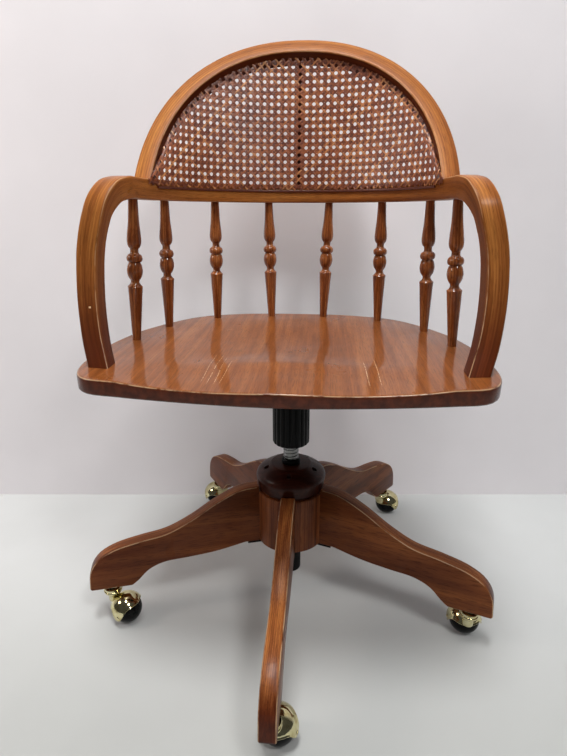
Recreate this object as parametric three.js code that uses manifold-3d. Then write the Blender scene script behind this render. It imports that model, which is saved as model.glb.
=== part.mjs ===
// A bankers swivel chair: a dished wooden seat, a bent arm bow on eight turned spindles,
// a leaning crest bow filled with cane, a screw column, and a five-legged base on ball casters.
// Millimetres, +Z up, the sitter looks along -Y. The swivel axis is the Z axis of the inner frame.
import * as THREE from 'three';
import { mergeVertices } from 'three/addons/utils/BufferGeometryUtils.js';
import Module from 'manifold-3d';

const wasm = await Module();
wasm.setup();

// Clearances
const seatGap = 0.3; // between pieces that rest on each other
const runGap = 0.3; // round a pin, screw or axle that turns
const cutOverrun = 2; // how far a cutting body passes the face it cuts
const weld = 0.0005; // corners nearer than this are one corner

// Seat
const seatHalfWidth = 268;
const seatFrontReach = 224;
const seatShortfall = 81; // the seat reaches this much less far back than to its sides
const seatBackReach = seatHalfWidth - seatShortfall;
const seatCentreY = -15;
const seatThickness = 21;
const seatTop = 463; // height of the flat rim above the floor
const seatDish = 9; // depth of the hollow
const seatRidge = 4; // rise between the two thighs
const seatRidgeWidth = 60;
const seatEdgeRound = 5;
const frontDip = 5; // the front edge falls this far between its corners
const frontDipHalf = 200;
const frontDipStart = 110; // how far forward the fall begins
const frontDipFade = 60;
const seatOutlinePoints = 42;

// Arm bow: one bent length that is post, arm, back rail, arm and post
const railInset = 43; // from the seat's widest place in to the rail's centre line
const railRadius = seatHalfWidth - railInset;
const railCentreY = -36;
const railWidth = 27; // across, seen from above
const railHeight = 29;
const armRise = 217.5; // from the seat to the rail's centre line where the arms leave the round
const railMiddle = seatTop + armRise;
const railFall = 8; // how far the rail drops to its middle at the back
const armReach = 107; // from the end of the round to the foot
const armSpread = 30.5; // how far the posts swing out past the rail
const postDepth = 25;
const postTurn = THREE.MathUtils.degToRad(8); // the foot is turned this far outward
const bowCorner = 4;
const armSteps = 17;
const railSteps = 34;

// Crest bow: a flat hoop that leans back from the rail
const crestOverhang = 7; // its feet reach this far past the rail's centre line
const crestHalfWidth = railRadius + crestOverhang;
const crestRise = 277; // along its own plane
const crestPower = 2.2; // roundness of the hoop
const crestWidth = 26;
const crestDepth = 27;
const crestLean = THREE.MathUtils.degToRad(40);
const crestFootY = 24;
const crestFootRise = 13.5; // from the rail's centre line
const crestFootHeight = railMiddle + crestFootRise;
const crestSteps = 40;

// Cane panel, its spline and the slat behind it
const canePitch = 18.4;
const caneBar = 7.3; // width of a strand bundle between two gaps
const caneThickness = 2;
const caneGap = 0.8; // between a bent bow's inner face and what lies against it
const caneDepthShare = 0.45; // where the panel meets the hoop, as a share of the hoop's depth
const caneOverlap = 8; // how far the panel hangs below the top of the rail
const caneEdge = 3; // solid border kept at the hoop
const splineHeight = 4;
const splineDepth = 2.4;
const splineSteps = 26;
const slatWidth = 12;
const slatDepth = 8;
const slatSetback = 2.5;

// Spindles
const spindleRadius = 11.4;
const spindleSides = 10;
const spindleHeadAngles = [6.4, 26.6, 52.1, 76.6]; // degrees round the rail from its side
const spindleFootAngles = [4.9, 27.2, 51.6, 77];
const spindleFootShares = [1.049, 1.049, 1.015, 0.926]; // of the rail's radius

// Seat control: plate under the seat, tilting on a pin in a pressed housing
const plateThickness = 3;
const plateHalfWidth = 85;
const plateFront = -92;
const plateBack = 88;
const earThickness = 3;
const earFront = -8;
const earBack = 48;
const housingHalfWidth = 46;
const housingWall = 3;
const housingFront = -74;
const housingBack = 78;
const housingDrop = 4.7; // from the plate down to the housing's rim
const housingDepth = 38;
const housingBow = 20; // how far the floor rises at both ends
const tiltClearAngle = THREE.MathUtils.degToRad(17);
const pivotY = 20;
const pivotDrop = 17.5; // from the plate down to the pin
const pinRadius = 5;
const pinHeadRadius = 8;
const pinHeadThickness = 3;
const springRadius = 10;
const springWire = 4;
const springInner = 16; // the springs leave this much free on each side for the screw
const stopHalfLength = 30;
const stopWidth = 12;
const boltHeadLength = 7;
const boltHeadRadius = 9;
const boltRadius = 4.5;
const boltLength = 34;

// Column
const bossRadius = 24;
const bossLength = 12;
const collarRadius = 29.7;
const collarLength = 91.5;
const collarRound = 4;
const fluteDepth = 1.6;
const fluteCount = 20;
const screwRadius = 12.5;
const screwAbove = 6; // how far it stands above the housing's floor
const tubeRadius = 17.5;
const tubeWall = 3;
const tubeBottom = 48;
const tubeFloor = 4;
const bushingRadius = 15;
const bushingTop = 264;
const bushingRim = 8;
const bushingLength = 46;

// Hub and its cap
const hubRadius = 57;
const hubBottom = 118;
const hubTop = 213;
const hubChamfer = 1.5;
const hubBottomPlate = 3;
const plateArm = 76; // reach of the bottom plate's arms
const plateArmWidth = 20;
const plateDisc = 50;

// Legs
const legCount = 5;
const legReach = 336;
const legThickness = 22.7;
const legEdge = 2.5;
const footHeight = 64;
const legTop = 221.5;
const legCurvePoints = 14;
const baseTurn = THREE.MathUtils.degToRad(-1);

// Casters
const casterSetback = 34; // from a leg's end in to its caster stem
const casterRadius = legReach - casterSetback;
const ballRadius = 24.6;
const ballSides = 14;
const ballBands = 9;
const hoodGap = 1.8;
const hoodWall = 1.3;
const hoodSides = 16;
const hoodBands = 5;
const hoodRimRise = THREE.MathUtils.degToRad(27); // of the rim over the middle of the ball
const hoodRimLean = THREE.MathUtils.degToRad(10); // so much higher ahead and lower behind
const earDrop = THREE.MathUtils.degToRad(40); // of an ear from the rim
const earSharpness = 12;
const earBunching = 0.15; // gathers the hood's corners towards its ears
const trail = 24; // from the stem to the middle of the ball
const neckRadius = 8.5;
const neckBottom = 34;
const neckTop = 46;
const cupRadius = 14.5;
const cupBottom = 53;
const stemRadius = 3.9;
const stemLength = 34;
const socketWall = 1;
const socketFlange = 9;
const socketFlangeThickness = 1.2;
const axleRadius = 2.5;
const rivetRadius = 3.8;
const rivetHeight = 1.2;
const casterTurns = [1.26, 1.5, 0.8, 2.2, -0.25]; // where each ball trails, seen from above

const woodLight = new THREE.Color(0.5, 0.24, 0.09);
const woodDark = new THREE.Color(0.32, 0.13, 0.06);
const caneBrown = new THREE.Color(0.5, 0.28, 0.14);
const brassGold = new THREE.Color(0.78, 0.68, 0.42);
const blackSteel = new THREE.Color(0.03, 0.03, 0.035);
const blackPlastic = new THREE.Color(0.02, 0.02, 0.022);
const zincSteel = new THREE.Color(0.62, 0.62, 0.64);

const lacqueredWood = (tone) => ({ color: tone, roughness: 0.32, metalness: 0 });
const metal = (tone, roughness) => ({ color: tone, roughness, metalness: 1 });
const plastic = (tone) => ({ color: tone, roughness: 0.45, metalness: 0 });

const Z = new THREE.Vector3(0, 0, 1);

const chair = new THREE.Group();

// Adds one named piece to the chair.
function add(name, geometry, look) {
  const mesh = new THREE.Mesh(geometry, new THREE.MeshStandardMaterial(look));
  mesh.name = name;
  chair.add(mesh);
  return mesh;
}

// Joins shared corners, drops flat triangles and turns the faces out.
function solid(geometry) {
  const bare = geometry.clone();
  for (const name of Object.keys(bare.attributes)) {
    if (name !== 'position') bare.deleteAttribute(name);
  }
  const merged = mergeVertices(bare, weld);
  const faces = [];
  for (let i = 0; i < merged.index.count; i += 3) {
    const face = [0, 1, 2].map((k) => merged.index.getX(i + k));
    if (new Set(face).size === face.length) faces.push(face);
  }
  const [a, b, c] = [new THREE.Vector3(), new THREE.Vector3(), new THREE.Vector3()];
  let volume = 0;
  for (const face of faces) {
    [a, b, c].forEach((corner, k) => corner.fromBufferAttribute(merged.attributes.position, face[k]));
    volume += a.dot(b.cross(c));
  }
  if (volume < 0) faces.forEach((face) => face.reverse());
  merged.setIndex(faces.flat());
  return merged;
}

// Corners and faces as a closed geometry.
function geometryOf(points, faces) {
  const geometry = new THREE.BufferGeometry();
  geometry.setAttribute('position', new THREE.Float32BufferAttribute(points.flatMap((p) => p.toArray()), 3));
  geometry.setIndex(faces.flat());
  return solid(geometry);
}

function toManifold(geometry) {
  const closed = solid(geometry);
  return new wasm.Manifold(new wasm.Mesh({
    numProp: 3,
    vertProperties: new Float32Array(closed.attributes.position.array),
    triVerts: new Uint32Array(closed.index.array),
  }));
}

function fromManifold(body) {
  const mesh = body.getMesh();
  const geometry = new THREE.BufferGeometry();
  geometry.setAttribute('position', new THREE.Float32BufferAttribute(mesh.vertProperties, 3));
  geometry.setIndex(Array.from(mesh.triVerts));
  return geometry;
}

function cut(geometry, ...tools) {
  return fromManifold(tools.reduce((body, tool) => body.subtract(toManifold(tool)), toManifold(geometry)));
}

function join(geometry, ...others) {
  return fromManifold(others.reduce((body, other) => body.add(toManifold(other)), toManifold(geometry)));
}

// A skin through rings that all have as many points: capped at both ends, or looped into a ring.
function skin(rings, looped = false) {
  const count = rings[0].length;
  const points = rings.flat();
  const faces = [];
  const spans = looped ? rings.length : rings.length - 1;
  for (let i = 0; i < spans; i += 1) {
    const near = i * count;
    const far = ((i + 1) % rings.length) * count;
    for (let k = 0; k < count; k += 1) {
      const next = (k + 1) % count;
      faces.push([near + k, near + next, far + next], [near + k, far + next, far + k]);
    }
  }
  if (!looped) {
    for (const [index, ring] of [[0, rings[0]], [rings.length - 1, rings.at(-1)]]) {
      const middle = ring.reduce((sum, p) => sum.add(p), new THREE.Vector3()).divideScalar(count);
      points.push(middle);
      const start = index * count;
      for (let k = 0; k < count; k += 1) {
        const face = [points.length - 1, start + ((k + 1) % count), start + k];
        faces.push(index === 0 ? face : face.reverse());
      }
    }
  }
  return geometryOf(points, faces);
}

// A round body about Z from a profile of [radius, height] pairs.
function turned(profile, sides) {
  const lathe = new THREE.LatheGeometry(profile.map(([r, z]) => new THREE.Vector2(r, z)), sides);
  return solid(lathe.rotateX(Math.PI / 2));
}

// A straight round bar about Z, and the same lying along X.
function bar(radius, bottom, top, sides) {
  return turned([[0, bottom], [radius, bottom], [radius, top], [0, top]], sides);
}

function barAlongX(radius, half, sides) {
  return bar(radius, -half, half, sides).rotateY(Math.PI / 2);
}

// A ring-shaped body about Z: a profile that closes on itself.
function ringBody(inner, outer, bottom, top, sides) {
  return turned([[inner, bottom], [outer, bottom], [outer, top], [inner, top], [inner, bottom]], sides);
}

// An outline in the Y-Z plane, given a thickness along X and centred on it.
function slabAcross(outline, thickness, bevel = 0) {
  const shape = new THREE.Shape(outline.map(([y, z]) => new THREE.Vector2(y, z)));
  const depth = thickness - bevel - bevel;
  const body = new THREE.ExtrudeGeometry(shape, {
    depth,
    bevelEnabled: bevel > 0,
    bevelSize: bevel,
    bevelThickness: bevel,
    bevelOffset: -bevel,
    bevelSegments: 1,
  });
  body.translate(0, 0, -depth / 2);
  return solid(body.applyMatrix4(new THREE.Matrix4().makeBasis(
    new THREE.Vector3(0, 1, 0), new THREE.Vector3(0, 0, 1), new THREE.Vector3(1, 0, 0))));
}

// The corners of a box section with its edges taken off, as [across, up] pairs.
function boxSection(width, height, corner) {
  const [w, h] = [width / 2, height / 2];
  return [
    [w, h - corner], [w - corner, h], [corner - w, h], [-w, h - corner],
    [-w, corner - h], [corner - w, -h], [w - corner, -h], [w, corner - h],
  ];
}

function ringOf(centre, across, up, section) {
  return section.map(([a, b]) => centre.clone().addScaledVector(across, a).addScaledVector(up, b));
}

// Slides a ring's points along the bow until they lie at one height each.
function cutLevel(ring, along, heightAt) {
  return ring.map((p) => p.clone().addScaledVector(along, (heightAt(p) - p.z) / along.z));
}

// Heights of the rail along its fall to the back
const railBack = railCentreY + railRadius;
const railMidAt = (y) => railMiddle - railFall * (y - railCentreY) / railRadius;
const railTopAt = (y) => railMidAt(y) + railHeight / 2;
const railBottomAt = (y) => railMidAt(y) - railHeight / 2;
const seatBottom = seatTop - seatThickness;

// Seat
const outlineShares = [
  [0, 1], [0.36, 0.973], [0.73, 0.911], [0.905, 0.86], [0.98, 0.71], [1, 0.31],
];
const backOutlineShares = [
  [0.966, -0.02], [0.9, 0.283], [0.66, 0.79], [0.36, 0.965], [0, 1],
];
const roundShares = [[1, 0], [0.35, 0.35], [0, 1]]; // inset and rise of a rounded edge
const rimShare = 0.82; // the hollow ends here, as a share of the way to the edge
const hollowShares = [0.84, 0.7, 0.52, 0.32, 0.12];

function seatOutline() {
  const front = outlineShares.map(([a, b]) => new THREE.Vector3(a * seatHalfWidth, -b * seatFrontReach, 0));
  const back = backOutlineShares.map(([a, b]) => new THREE.Vector3(a * seatHalfWidth, b * seatBackReach, 0));
  const right = [...front, ...back];
  const left = right.slice(1, -1).reverse().map((p) => new THREE.Vector3(-p.x, p.y, 0));
  const curve = new THREE.CatmullRomCurve3([...right, ...left], true, 'centripetal');
  return curve.getSpacedPoints(seatOutlinePoints).slice(0, -1);
}

// How far the top surface lies below the rim at a place and a share of the way to the edge.
function seatHollow(x, y, share) {
  const frontness = THREE.MathUtils.smoothstep(-y, frontDipStart, frontDipStart + frontDipFade);
  const between = Math.max(0, 1 - (x / frontDipHalf) ** 4);
  const crown = Math.exp(-((x / seatRidgeWidth) ** 2));
  const dish = (1 - THREE.MathUtils.smoothstep(share, 0, rimShare)) * seatDish;
  const ridge = crown * seatRidge * (1 - frontness) * (y < 0 ? 1 : 0) * Math.min(1, -y / frontDipStart);
  return frontness * between * frontDip * (1 - crown / 2) + dish - ridge * Math.min(1, dish / seatRidge);
}

function buildSeat() {
  const outline = seatOutline();
  const centre = new THREE.Vector3(0, seatCentreY, 0);
  const rings = [];
  const ringAt = (inset, share, height) => {
    const scale = share * (1 - inset / seatHalfWidth);
    return outline.map((p) => {
      const q = centre.clone().lerp(p, scale);
      q.z = height(q, scale);
      return q;
    });
  };
  for (const [inset, rise] of roundShares) {
    rings.push(ringAt(inset * seatEdgeRound, 1, () => seatBottom + rise * seatEdgeRound));
  }
  for (const [inset, rise] of [...roundShares].reverse()) {
    rings.push(ringAt(inset * seatEdgeRound, 1,
      (q) => seatTop - rise * seatEdgeRound - seatHollow(q.x, q.y, 1)));
  }
  for (const share of hollowShares) {
    rings.push(ringAt(0, share, (q, scale) => seatTop - seatHollow(q.x, q.y, scale)));
  }
  add('seat', skin(rings), lacqueredWood(woodLight));
}

// Arm bow
const armShares = [ // swing out, reach forward and height of the centre line
  [0.4, 1, 0], [0.723, 0.86, 0.133], [0.944, 0.729, 0.322], [0.98, 0.645, 0.506], [0.87, 0.607, 0.667],
  [0.63, 0.589, 0.8], [0.4, 0.533, 0.9], [0.16, 0.374, 0.973], [0.03, 0.131, 0.996], [0, 0, 1],
];

function armPoints(side) {
  return armShares.map(([out, reach, rise]) => new THREE.Vector3(
    side * (railRadius + out * armSpread), railCentreY - reach * armReach, seatTop + rise * armRise));
}

// One post and arm, foot first: rings of the section turned with the bend.
function armRings(side) {
  const curve = new THREE.CatmullRomCurve3(armPoints(side), false, 'centripetal');
  const rings = [];
  for (let i = 0; i < armSteps; i += 1) {
    const share = i / armSteps;
    const centre = curve.getPointAt(share);
    const along = curve.getTangentAt(share);
    const turn = postTurn * (1 - share);
    const across = new THREE.Vector3(Math.cos(turn), side * Math.sin(turn), 0);
    across.addScaledVector(along, -across.dot(along)).normalize();
    const up = new THREE.Vector3().crossVectors(across, along).normalize();
    const depth = THREE.MathUtils.lerp(postDepth, railHeight, share);
    const ring = ringOf(centre, across, up, boxSection(railWidth, depth, bowCorner));
    rings.push(i === 0 ? cutLevel(ring, along, () => seatTop + seatGap) : ring);
  }
  return rings;
}

function buildArmBow() {
  const right = armRings(1);
  const left = armRings(-1);
  const round = [];
  for (let i = 0; i <= railSteps; i += 1) {
    const angle = Math.PI * i / railSteps;
    const out = new THREE.Vector3(Math.cos(angle), Math.sin(angle), 0);
    const centre = new THREE.Vector3(0, railCentreY, 0).addScaledVector(out, railRadius);
    centre.z = railMidAt(centre.y);
    round.push(ringOf(centre, out, Z, boxSection(railWidth, railHeight, bowCorner)));
  }
  // The left arm's section runs the other way round, so it is turned to match the round.
  const turnedLeft = left.reverse().map((ring) => {
    const flipped = ring.map((_, k) => ring[(ring.length + 3 - k) % ring.length]);
    return flipped;
  });
  add('arm_bow', skin([...right, ...round, ...turnedLeft]), lacqueredWood(woodLight));
}

// Crest bow: points of the hoop in its own plane, and the plane's two directions
const crestUp = new THREE.Vector3(0, Math.sin(crestLean), Math.cos(crestLean));
const crestBack = new THREE.Vector3(0, Math.cos(crestLean), -Math.sin(crestLean));
const crestFoot = new THREE.Vector3(0, crestFootY, crestFootHeight);

function hoopPoint(angle, inset, depth) {
  const power = 2 / crestPower;
  const c = Math.cos(angle);
  const s = Math.sin(angle);
  const x = Math.sign(c) * Math.abs(c) ** power * (crestHalfWidth - inset);
  const rise = Math.abs(s) ** power * (crestRise - inset);
  return crestFoot.clone().setX(x).addScaledVector(crestUp, rise).addScaledVector(crestBack, depth);
}

function buildCrestBow() {
  const half = crestWidth / 2;
  const rings = [];
  for (let i = 0; i <= crestSteps; i += 1) {
    const angle = Math.PI * i / crestSteps;
    const centre = hoopPoint(angle, half, crestDepth / 2);
    const step = Math.PI / crestSteps / 2;
    const along = hoopPoint(Math.min(Math.PI, angle + step), half, 0)
      .sub(hoopPoint(Math.max(0, angle - step), half, 0)).normalize();
    const across = new THREE.Vector3().crossVectors(along, crestBack).normalize();
    rings.push(ringOf(centre, across, crestBack, boxSection(crestWidth, crestDepth, bowCorner)));
  }
  const onRail = (p) => railTopAt(p.y) + seatGap;
  rings[0] = cutLevel(rings[0], crestUp, onRail);
  rings[crestSteps] = cutLevel(rings[crestSteps], crestUp, onRail);
  add('crest_bow', skin(rings), lacqueredWood(woodLight));
}

// Cane panel: a sheet from the rail's inner face up to the hoop's inner face
const caneRadius = railRadius - railWidth / 2 - caneGap - caneThickness / 2;
const caneDepth = crestDepth * caneDepthShare;
const caneInset = crestWidth + caneGap;
const caneHeadDrop = caneThickness / 2 * Math.tan(crestLean) + seatGap; // clears the slope of the hoop

const caneFootY = (x) => railCentreY + Math.sqrt(Math.max(0, caneRadius ** 2 - x ** 2));
const caneFootHeight = (x) => railTopAt(caneFootY(x)) - caneOverlap;

// The hoop's inner face at a distance across, where the panel ends.
function caneHead(x) {
  const reach = crestHalfWidth - caneInset;
  const rise = (1 - Math.min(1, Math.abs(x) / reach) ** crestPower) ** (1 / crestPower);
  const point = crestFoot.clone().addScaledVector(crestUp, rise * (crestRise - caneInset));
  return point.setX(x).addScaledVector(crestBack, caneDepth);
}

// The panel's surface at a distance across and a height above its lower edge: upright where it
// lies against the rail, then leaning out to the hoop.
function canePoint(x, height) {
  const foot = new THREE.Vector3(x, caneFootY(x), caneFootHeight(x));
  if (height <= caneOverlap) return foot.setZ(foot.z + height);
  const head = caneHead(x);
  foot.z += caneOverlap;
  return foot.lerp(head, (height - caneOverlap) / (head.z - foot.z));
}

function caneNormal(x, height) {
  const step = caneThickness;
  const across = canePoint(x + step, height).sub(canePoint(x - step, height));
  const up = canePoint(x, height + step).sub(canePoint(x, height));
  return across.cross(up).normalize();
}

// Whether a place along a row or a column lies on a strand bundle.
function onBar(place) {
  const offset = place / canePitch - Math.round(place / canePitch);
  return Math.abs(offset) * canePitch < caneBar / 2;
}

// Grid lines at both sides of every strand bundle between two ends.
function caneLines(from, to) {
  const lines = [from];
  for (let k = Math.ceil(from / canePitch); k * canePitch < to; k += 1) {
    lines.push(k * canePitch - caneBar / 2, k * canePitch + caneBar / 2);
  }
  return [...lines.filter((line) => line >= from && line < to), to].sort((a, b) => a - b);
}

// One cell of the grid, cut off by the straight line between its two heights at the hoop.
function clippedCell(xa, xb, low, high, topA, topB) {
  const corners = [[xa, low, topA], [xb, low, topB], [xb, high, topB], [xa, high, topA]];
  const cell = [];
  corners.forEach(([x, h, top], k) => {
    const [nextX, nextH, nextTop] = corners[(k + 1) % corners.length];
    if (h <= top) cell.push([x, h]);
    if ((h <= top) !== (nextH <= nextTop)) {
      cell.push(x === nextX ? [x, top] : [xa + (xb - xa) * (h - topA) / (topB - topA), h]);
    }
  });
  return cell;
}

function buildCanePanel() {
  const half = crestHalfWidth - caneInset - caneEdge;
  const columns = caneLines(-half, half);
  const heightAt = columns.map((x) => caneHead(x).z - caneFootHeight(x) - caneHeadDrop);
  const rows = caneLines(0, crestRise);
  if (!rows.includes(caneOverlap)) rows.splice(rows.findIndex((row) => row > caneOverlap), 0, caneOverlap);
  const points = [];
  const index = new Map();
  const faces = [];
  const corner = (x, h) => {
    const key = `${x.toFixed(3)} ${h.toFixed(3)}`;
    if (!index.has(key)) {
      index.set(key, points.length);
      points.push([x, h]);
    }
    return index.get(key);
  };
  for (let i = 0; i + 1 < columns.length; i += 1) {
    const [xa, xb, topA, topB] = [columns[i], columns[i + 1], heightAt[i], heightAt[i + 1]];
    const inside = i > 0 && i + 2 < columns.length && !onBar((xa + xb) / 2);
    for (let j = 0; j + 1 < rows.length; j += 1) {
      const [low, high] = [rows[j], rows[j + 1]];
      const gap = inside && !onBar((low + high) / 2) && high + caneEdge < Math.min(topA, topB);
      if (gap) continue;
      const ring = clippedCell(xa, xb, low, high, topA, topB).map(([x, h]) => corner(x, h));
      for (let k = 1; k + 1 < ring.length; k += 1) faces.push([ring[0], ring[k], ring[k + 1]]);
    }
  }
  addNet('cane_panel', points, faces);
}

// Gives a flat net of faces its thickness and its side walls.
function addNet(name, points, faces) {
  const place = (side) => points.map(([x, h]) => canePoint(x, h)
    .addScaledVector(caneNormal(x, h), side * caneThickness / 2));
  const count = points.length;
  const edges = new Set(faces.flatMap(([a, b, c]) => [`${a} ${b}`, `${b} ${c}`, `${c} ${a}`]));
  const walls = [];
  for (const edge of edges) {
    const [a, b] = edge.split(' ').map(Number);
    if (!edges.has(`${b} ${a}`)) walls.push([b, a, a + count], [b, a + count, b + count]);
  }
  const backs = faces.map(([a, b, c]) => [c + count, b + count, a + count]);
  add(name, geometryOf([...place(1), ...place(-1)], [...faces, ...backs, ...walls]), {
    color: caneBrown, roughness: 0.6, metalness: 0,
  });
}

// The reed that holds the panel's lower edge against the rail.
function buildCaneSpline() {
  const radius = railRadius - railWidth / 2 - caneGap - splineDepth / 2;
  const reach = Math.acos((crestHalfWidth - caneInset - canePitch / 2) / caneRadius);
  const rings = [];
  for (let i = 0; i <= splineSteps; i += 1) {
    const angle = THREE.MathUtils.lerp(reach, Math.PI - reach, i / splineSteps);
    const out = new THREE.Vector3(Math.cos(angle), Math.sin(angle), 0);
    const centre = new THREE.Vector3(0, railCentreY, 0).addScaledVector(out, radius);
    centre.z = caneFootHeight(out.x * caneRadius) - seatGap - splineHeight / 2;
    rings.push(ringOf(centre, out, Z, boxSection(splineDepth, splineHeight, splineDepth / 4)));
  }
  add('cane_spline', skin(rings), { color: caneBrown, roughness: 0.5, metalness: 0 });
}

// The upright slat behind the middle of the panel.
function buildBackSlat() {
  const offset = caneThickness / 2 + slatSetback;
  const footY = caneFootY(0) + offset + railWidth / 4;
  const onRail = railTopAt(footY) + seatGap;
  const underside = (y) => {
    const inner = crestFoot.clone().addScaledVector(crestUp, crestRise - caneInset);
    return inner.z - (y - inner.y) * Math.tan(crestLean) - seatGap;
  };
  const headY = caneHead(0).y + offset;
  const outline = [
    [footY, onRail],
    [footY + slatDepth, onRail],
    [headY + slatDepth, underside(headY + slatDepth)],
    [headY, underside(headY)],
  ];
  add('back_slat', slabAcross(outline, slatWidth), lacqueredWood(woodDark));
}

// Spindles: one turning, from foot to head, as shares of its length and widest radius
const turningShares = [
  [0, 0.54], [0.396, 0.94], [0.41, 0.72], [0.437, 0.56], [0.47, 0.8], [0.519, 1], [0.568, 0.68],
  [0.601, 0.99], [0.628, 0.62], [0.665, 0.5], [0.715, 0.88], [0.76, 0.84], [0.85, 0.7], [1, 0.6],
];

// A place on a circle round the rail's own centre, on the right or the left side.
function roundRail(side, degrees, radius) {
  const angle = THREE.MathUtils.degToRad(degrees);
  return new THREE.Vector3(side * Math.cos(angle) * radius, railCentreY + Math.sin(angle) * radius, 0);
}

function buildSpindles() {
  let number = 0;
  for (const side of [-1, 1]) {
    for (let i = 0; i < spindleHeadAngles.length; i += 1) {
      const foot = roundRail(side, spindleFootAngles[i], railRadius * spindleFootShares[i]);
      const head = roundRail(side, spindleHeadAngles[i], railRadius);
      foot.z = seatTop + seatGap;
      head.z = railBottomAt(head.y) - seatGap;
      const axis = head.clone().sub(foot);
      const length = axis.length();
      const profile = turningShares.map(([h, r]) => [r * spindleRadius, h * length]);
      const body = turned([[0, 0], ...profile, [0, length]], spindleSides);
      // The two ends are cut level, so that they sit flat on the seat and under the rail.
      const along = axis.clone().normalize();
      body.applyQuaternion(new THREE.Quaternion().setFromUnitVectors(Z, along));
      body.translate(foot.x, foot.y, foot.z);
      levelEnds(body, foot, head, along);
      number += 1;
      add(`spindle_${number}`, body, lacqueredWood(woodLight));
    }
  }
}

function levelEnds(body, foot, head, along) {
  const place = body.attributes.position;
  const p = new THREE.Vector3();
  for (let i = 0; i < place.count; i += 1) {
    p.fromBufferAttribute(place, i);
    const share = p.clone().sub(foot).dot(along) / head.distanceTo(foot);
    if (share < weld) p.addScaledVector(along, (foot.z - p.z) / along.z);
    if (share > 1 - weld) {
      p.addScaledVector(along, (railBottomAt(p.y) - seatGap - p.z) / along.z);
    }
    place.setXYZ(i, p.x, p.y, p.z);
  }
}

// Heights of the control, from the seat down
const plateTop = seatBottom - seatGap;
const plateUnder = plateTop - plateThickness;
const pivotZ = plateUnder - pivotDrop;
const housingRim = plateUnder - housingDrop;
const housingFloor = housingRim - housingDepth;
const boltZ = housingRim - boltHeadRadius - cutOverrun;
const bossBottom = housingFloor - bossLength;
const collarTop = bossBottom - seatGap;
const collarBottom = collarTop - collarLength;
const screwBore = screwRadius + runGap;
const screwTop = housingFloor + housingWall + screwAbove;

function placedBarAlongX(radius, half, sides) {
  return barAlongX(radius, half, sides).translate(0, pivotY, pivotZ);
}

// Plate screwed under the seat, with two ears turned down to the pin.
function buildSeatPlate() {
  const depth = plateBack - plateFront;
  const flat = new THREE.BoxGeometry(plateHalfWidth + plateHalfWidth, depth, plateThickness);
  flat.translate(0, (plateFront + plateBack) / 2, plateTop - plateThickness / 2);
  const earDrop = pivotDrop + pinHeadRadius;
  const outline = [
    [earFront, plateTop - plateThickness / 2],
    [pivotY - pinHeadRadius, plateUnder - earDrop],
    [pivotY + pinHeadRadius, plateUnder - earDrop],
    [earBack, plateTop - plateThickness / 2],
  ];
  const earX = housingHalfWidth + seatGap + earThickness / 2;
  const ears = [-1, 1].map((side) => slabAcross(outline, earThickness).translate(side * earX, 0, 0));
  const pinHole = placedBarAlongX(pinRadius + runGap, earX + earThickness, 12);
  add('seat_plate', cut(join(flat, ...ears), pinHole), metal(blackSteel, 0.5));
}

// Pressed housing: an open pan with a bowed floor, low at the back so that the seat can tilt.
function buildHousing() {
  const panOutline = (wall, rise) => {
    const back = housingBack - wall;
    const front = housingFront + wall;
    const backRim = housingRim - (back - pivotY) * Math.tan(tiltClearAngle);
    const floor = housingFloor + wall;
    const quarter = (housingBack - housingFront) / 4;
    return [
      [front, housingRim + rise],
      [front, floor + housingBow],
      [front + quarter, floor],
      [back - quarter, floor],
      [back, floor + housingBow / 2],
      [back, backRim + rise],
      [pivotY, housingRim + rise],
    ];
  };
  const width = housingHalfWidth + housingHalfWidth;
  const shell = slabAcross(panOutline(0, 0), width);
  const room = slabAcross(panOutline(housingWall, cutOverrun), width - housingWall - housingWall);
  const boss = bar(bossRadius, bossBottom, housingFloor + housingWall / 2, 24);
  const bore = bar(screwBore, bossBottom - cutOverrun, housingFloor + housingWall + cutOverrun, 24);
  const pinHole = placedBarAlongX(pinRadius + runGap, housingHalfWidth + cutOverrun, 12);
  const boltHole = bar(boltRadius + runGap, -housingWall - cutOverrun, housingWall + cutOverrun, 12)
    .rotateX(Math.PI / 2).translate(0, housingFront, boltZ);
  add('control_housing', cut(join(cut(shell, room), boss), bore, pinHole, boltHole), metal(blackSteel, 0.5));
}

// Pin, springs, front stop and tension bolt.
function buildTiltParts() {
  const earOut = housingHalfWidth + seatGap + earThickness + seatGap;
  const headOut = earOut + pinHeadThickness;
  const pin = turned([
    [0, -headOut], [pinHeadRadius, -headOut], [pinHeadRadius, -earOut], [pinRadius, -earOut],
    [pinRadius, earOut], [pinHeadRadius, earOut], [pinHeadRadius, headOut], [0, headOut],
  ], 12).rotateY(Math.PI / 2).translate(0, pivotY, pivotZ);
  add('pivot_pin', pin, metal(zincSteel, 0.35));
  const springLength = housingHalfWidth - housingWall - seatGap - springInner;
  const springInside = springRadius - springWire;
  for (const [name, side] of [['tilt_spring_left', -1], ['tilt_spring_right', 1]]) {
    const coil = ringBody(springInside, springRadius, -springLength / 2, springLength / 2, 12);
    coil.rotateY(Math.PI / 2).translate(side * (springInner + springLength / 2), pivotY, pivotZ);
    add(name, coil, metal(zincSteel, 0.4));
  }
  const stop = new THREE.BoxGeometry(stopHalfLength + stopHalfLength, stopWidth, housingDrop - seatGap - seatGap);
  stop.translate(0, housingFront + stopWidth / 2, plateUnder - housingDrop / 2);
  add('front_stop', solid(stop), plastic(blackPlastic));
  const head = new THREE.CylinderGeometry(boltHeadRadius, boltHeadRadius, boltHeadLength, 6);
  head.translate(0, -boltHeadLength / 2, 0);
  const shank = new THREE.CylinderGeometry(boltRadius, boltRadius, boltLength + seatGap, 12);
  shank.translate(0, boltLength / 2, 0);
  const bolt = join(head, shank).translate(0, housingFront - seatGap, boltZ);
  add('tension_bolt', bolt, metal(zincSteel, 0.4));
}

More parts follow.
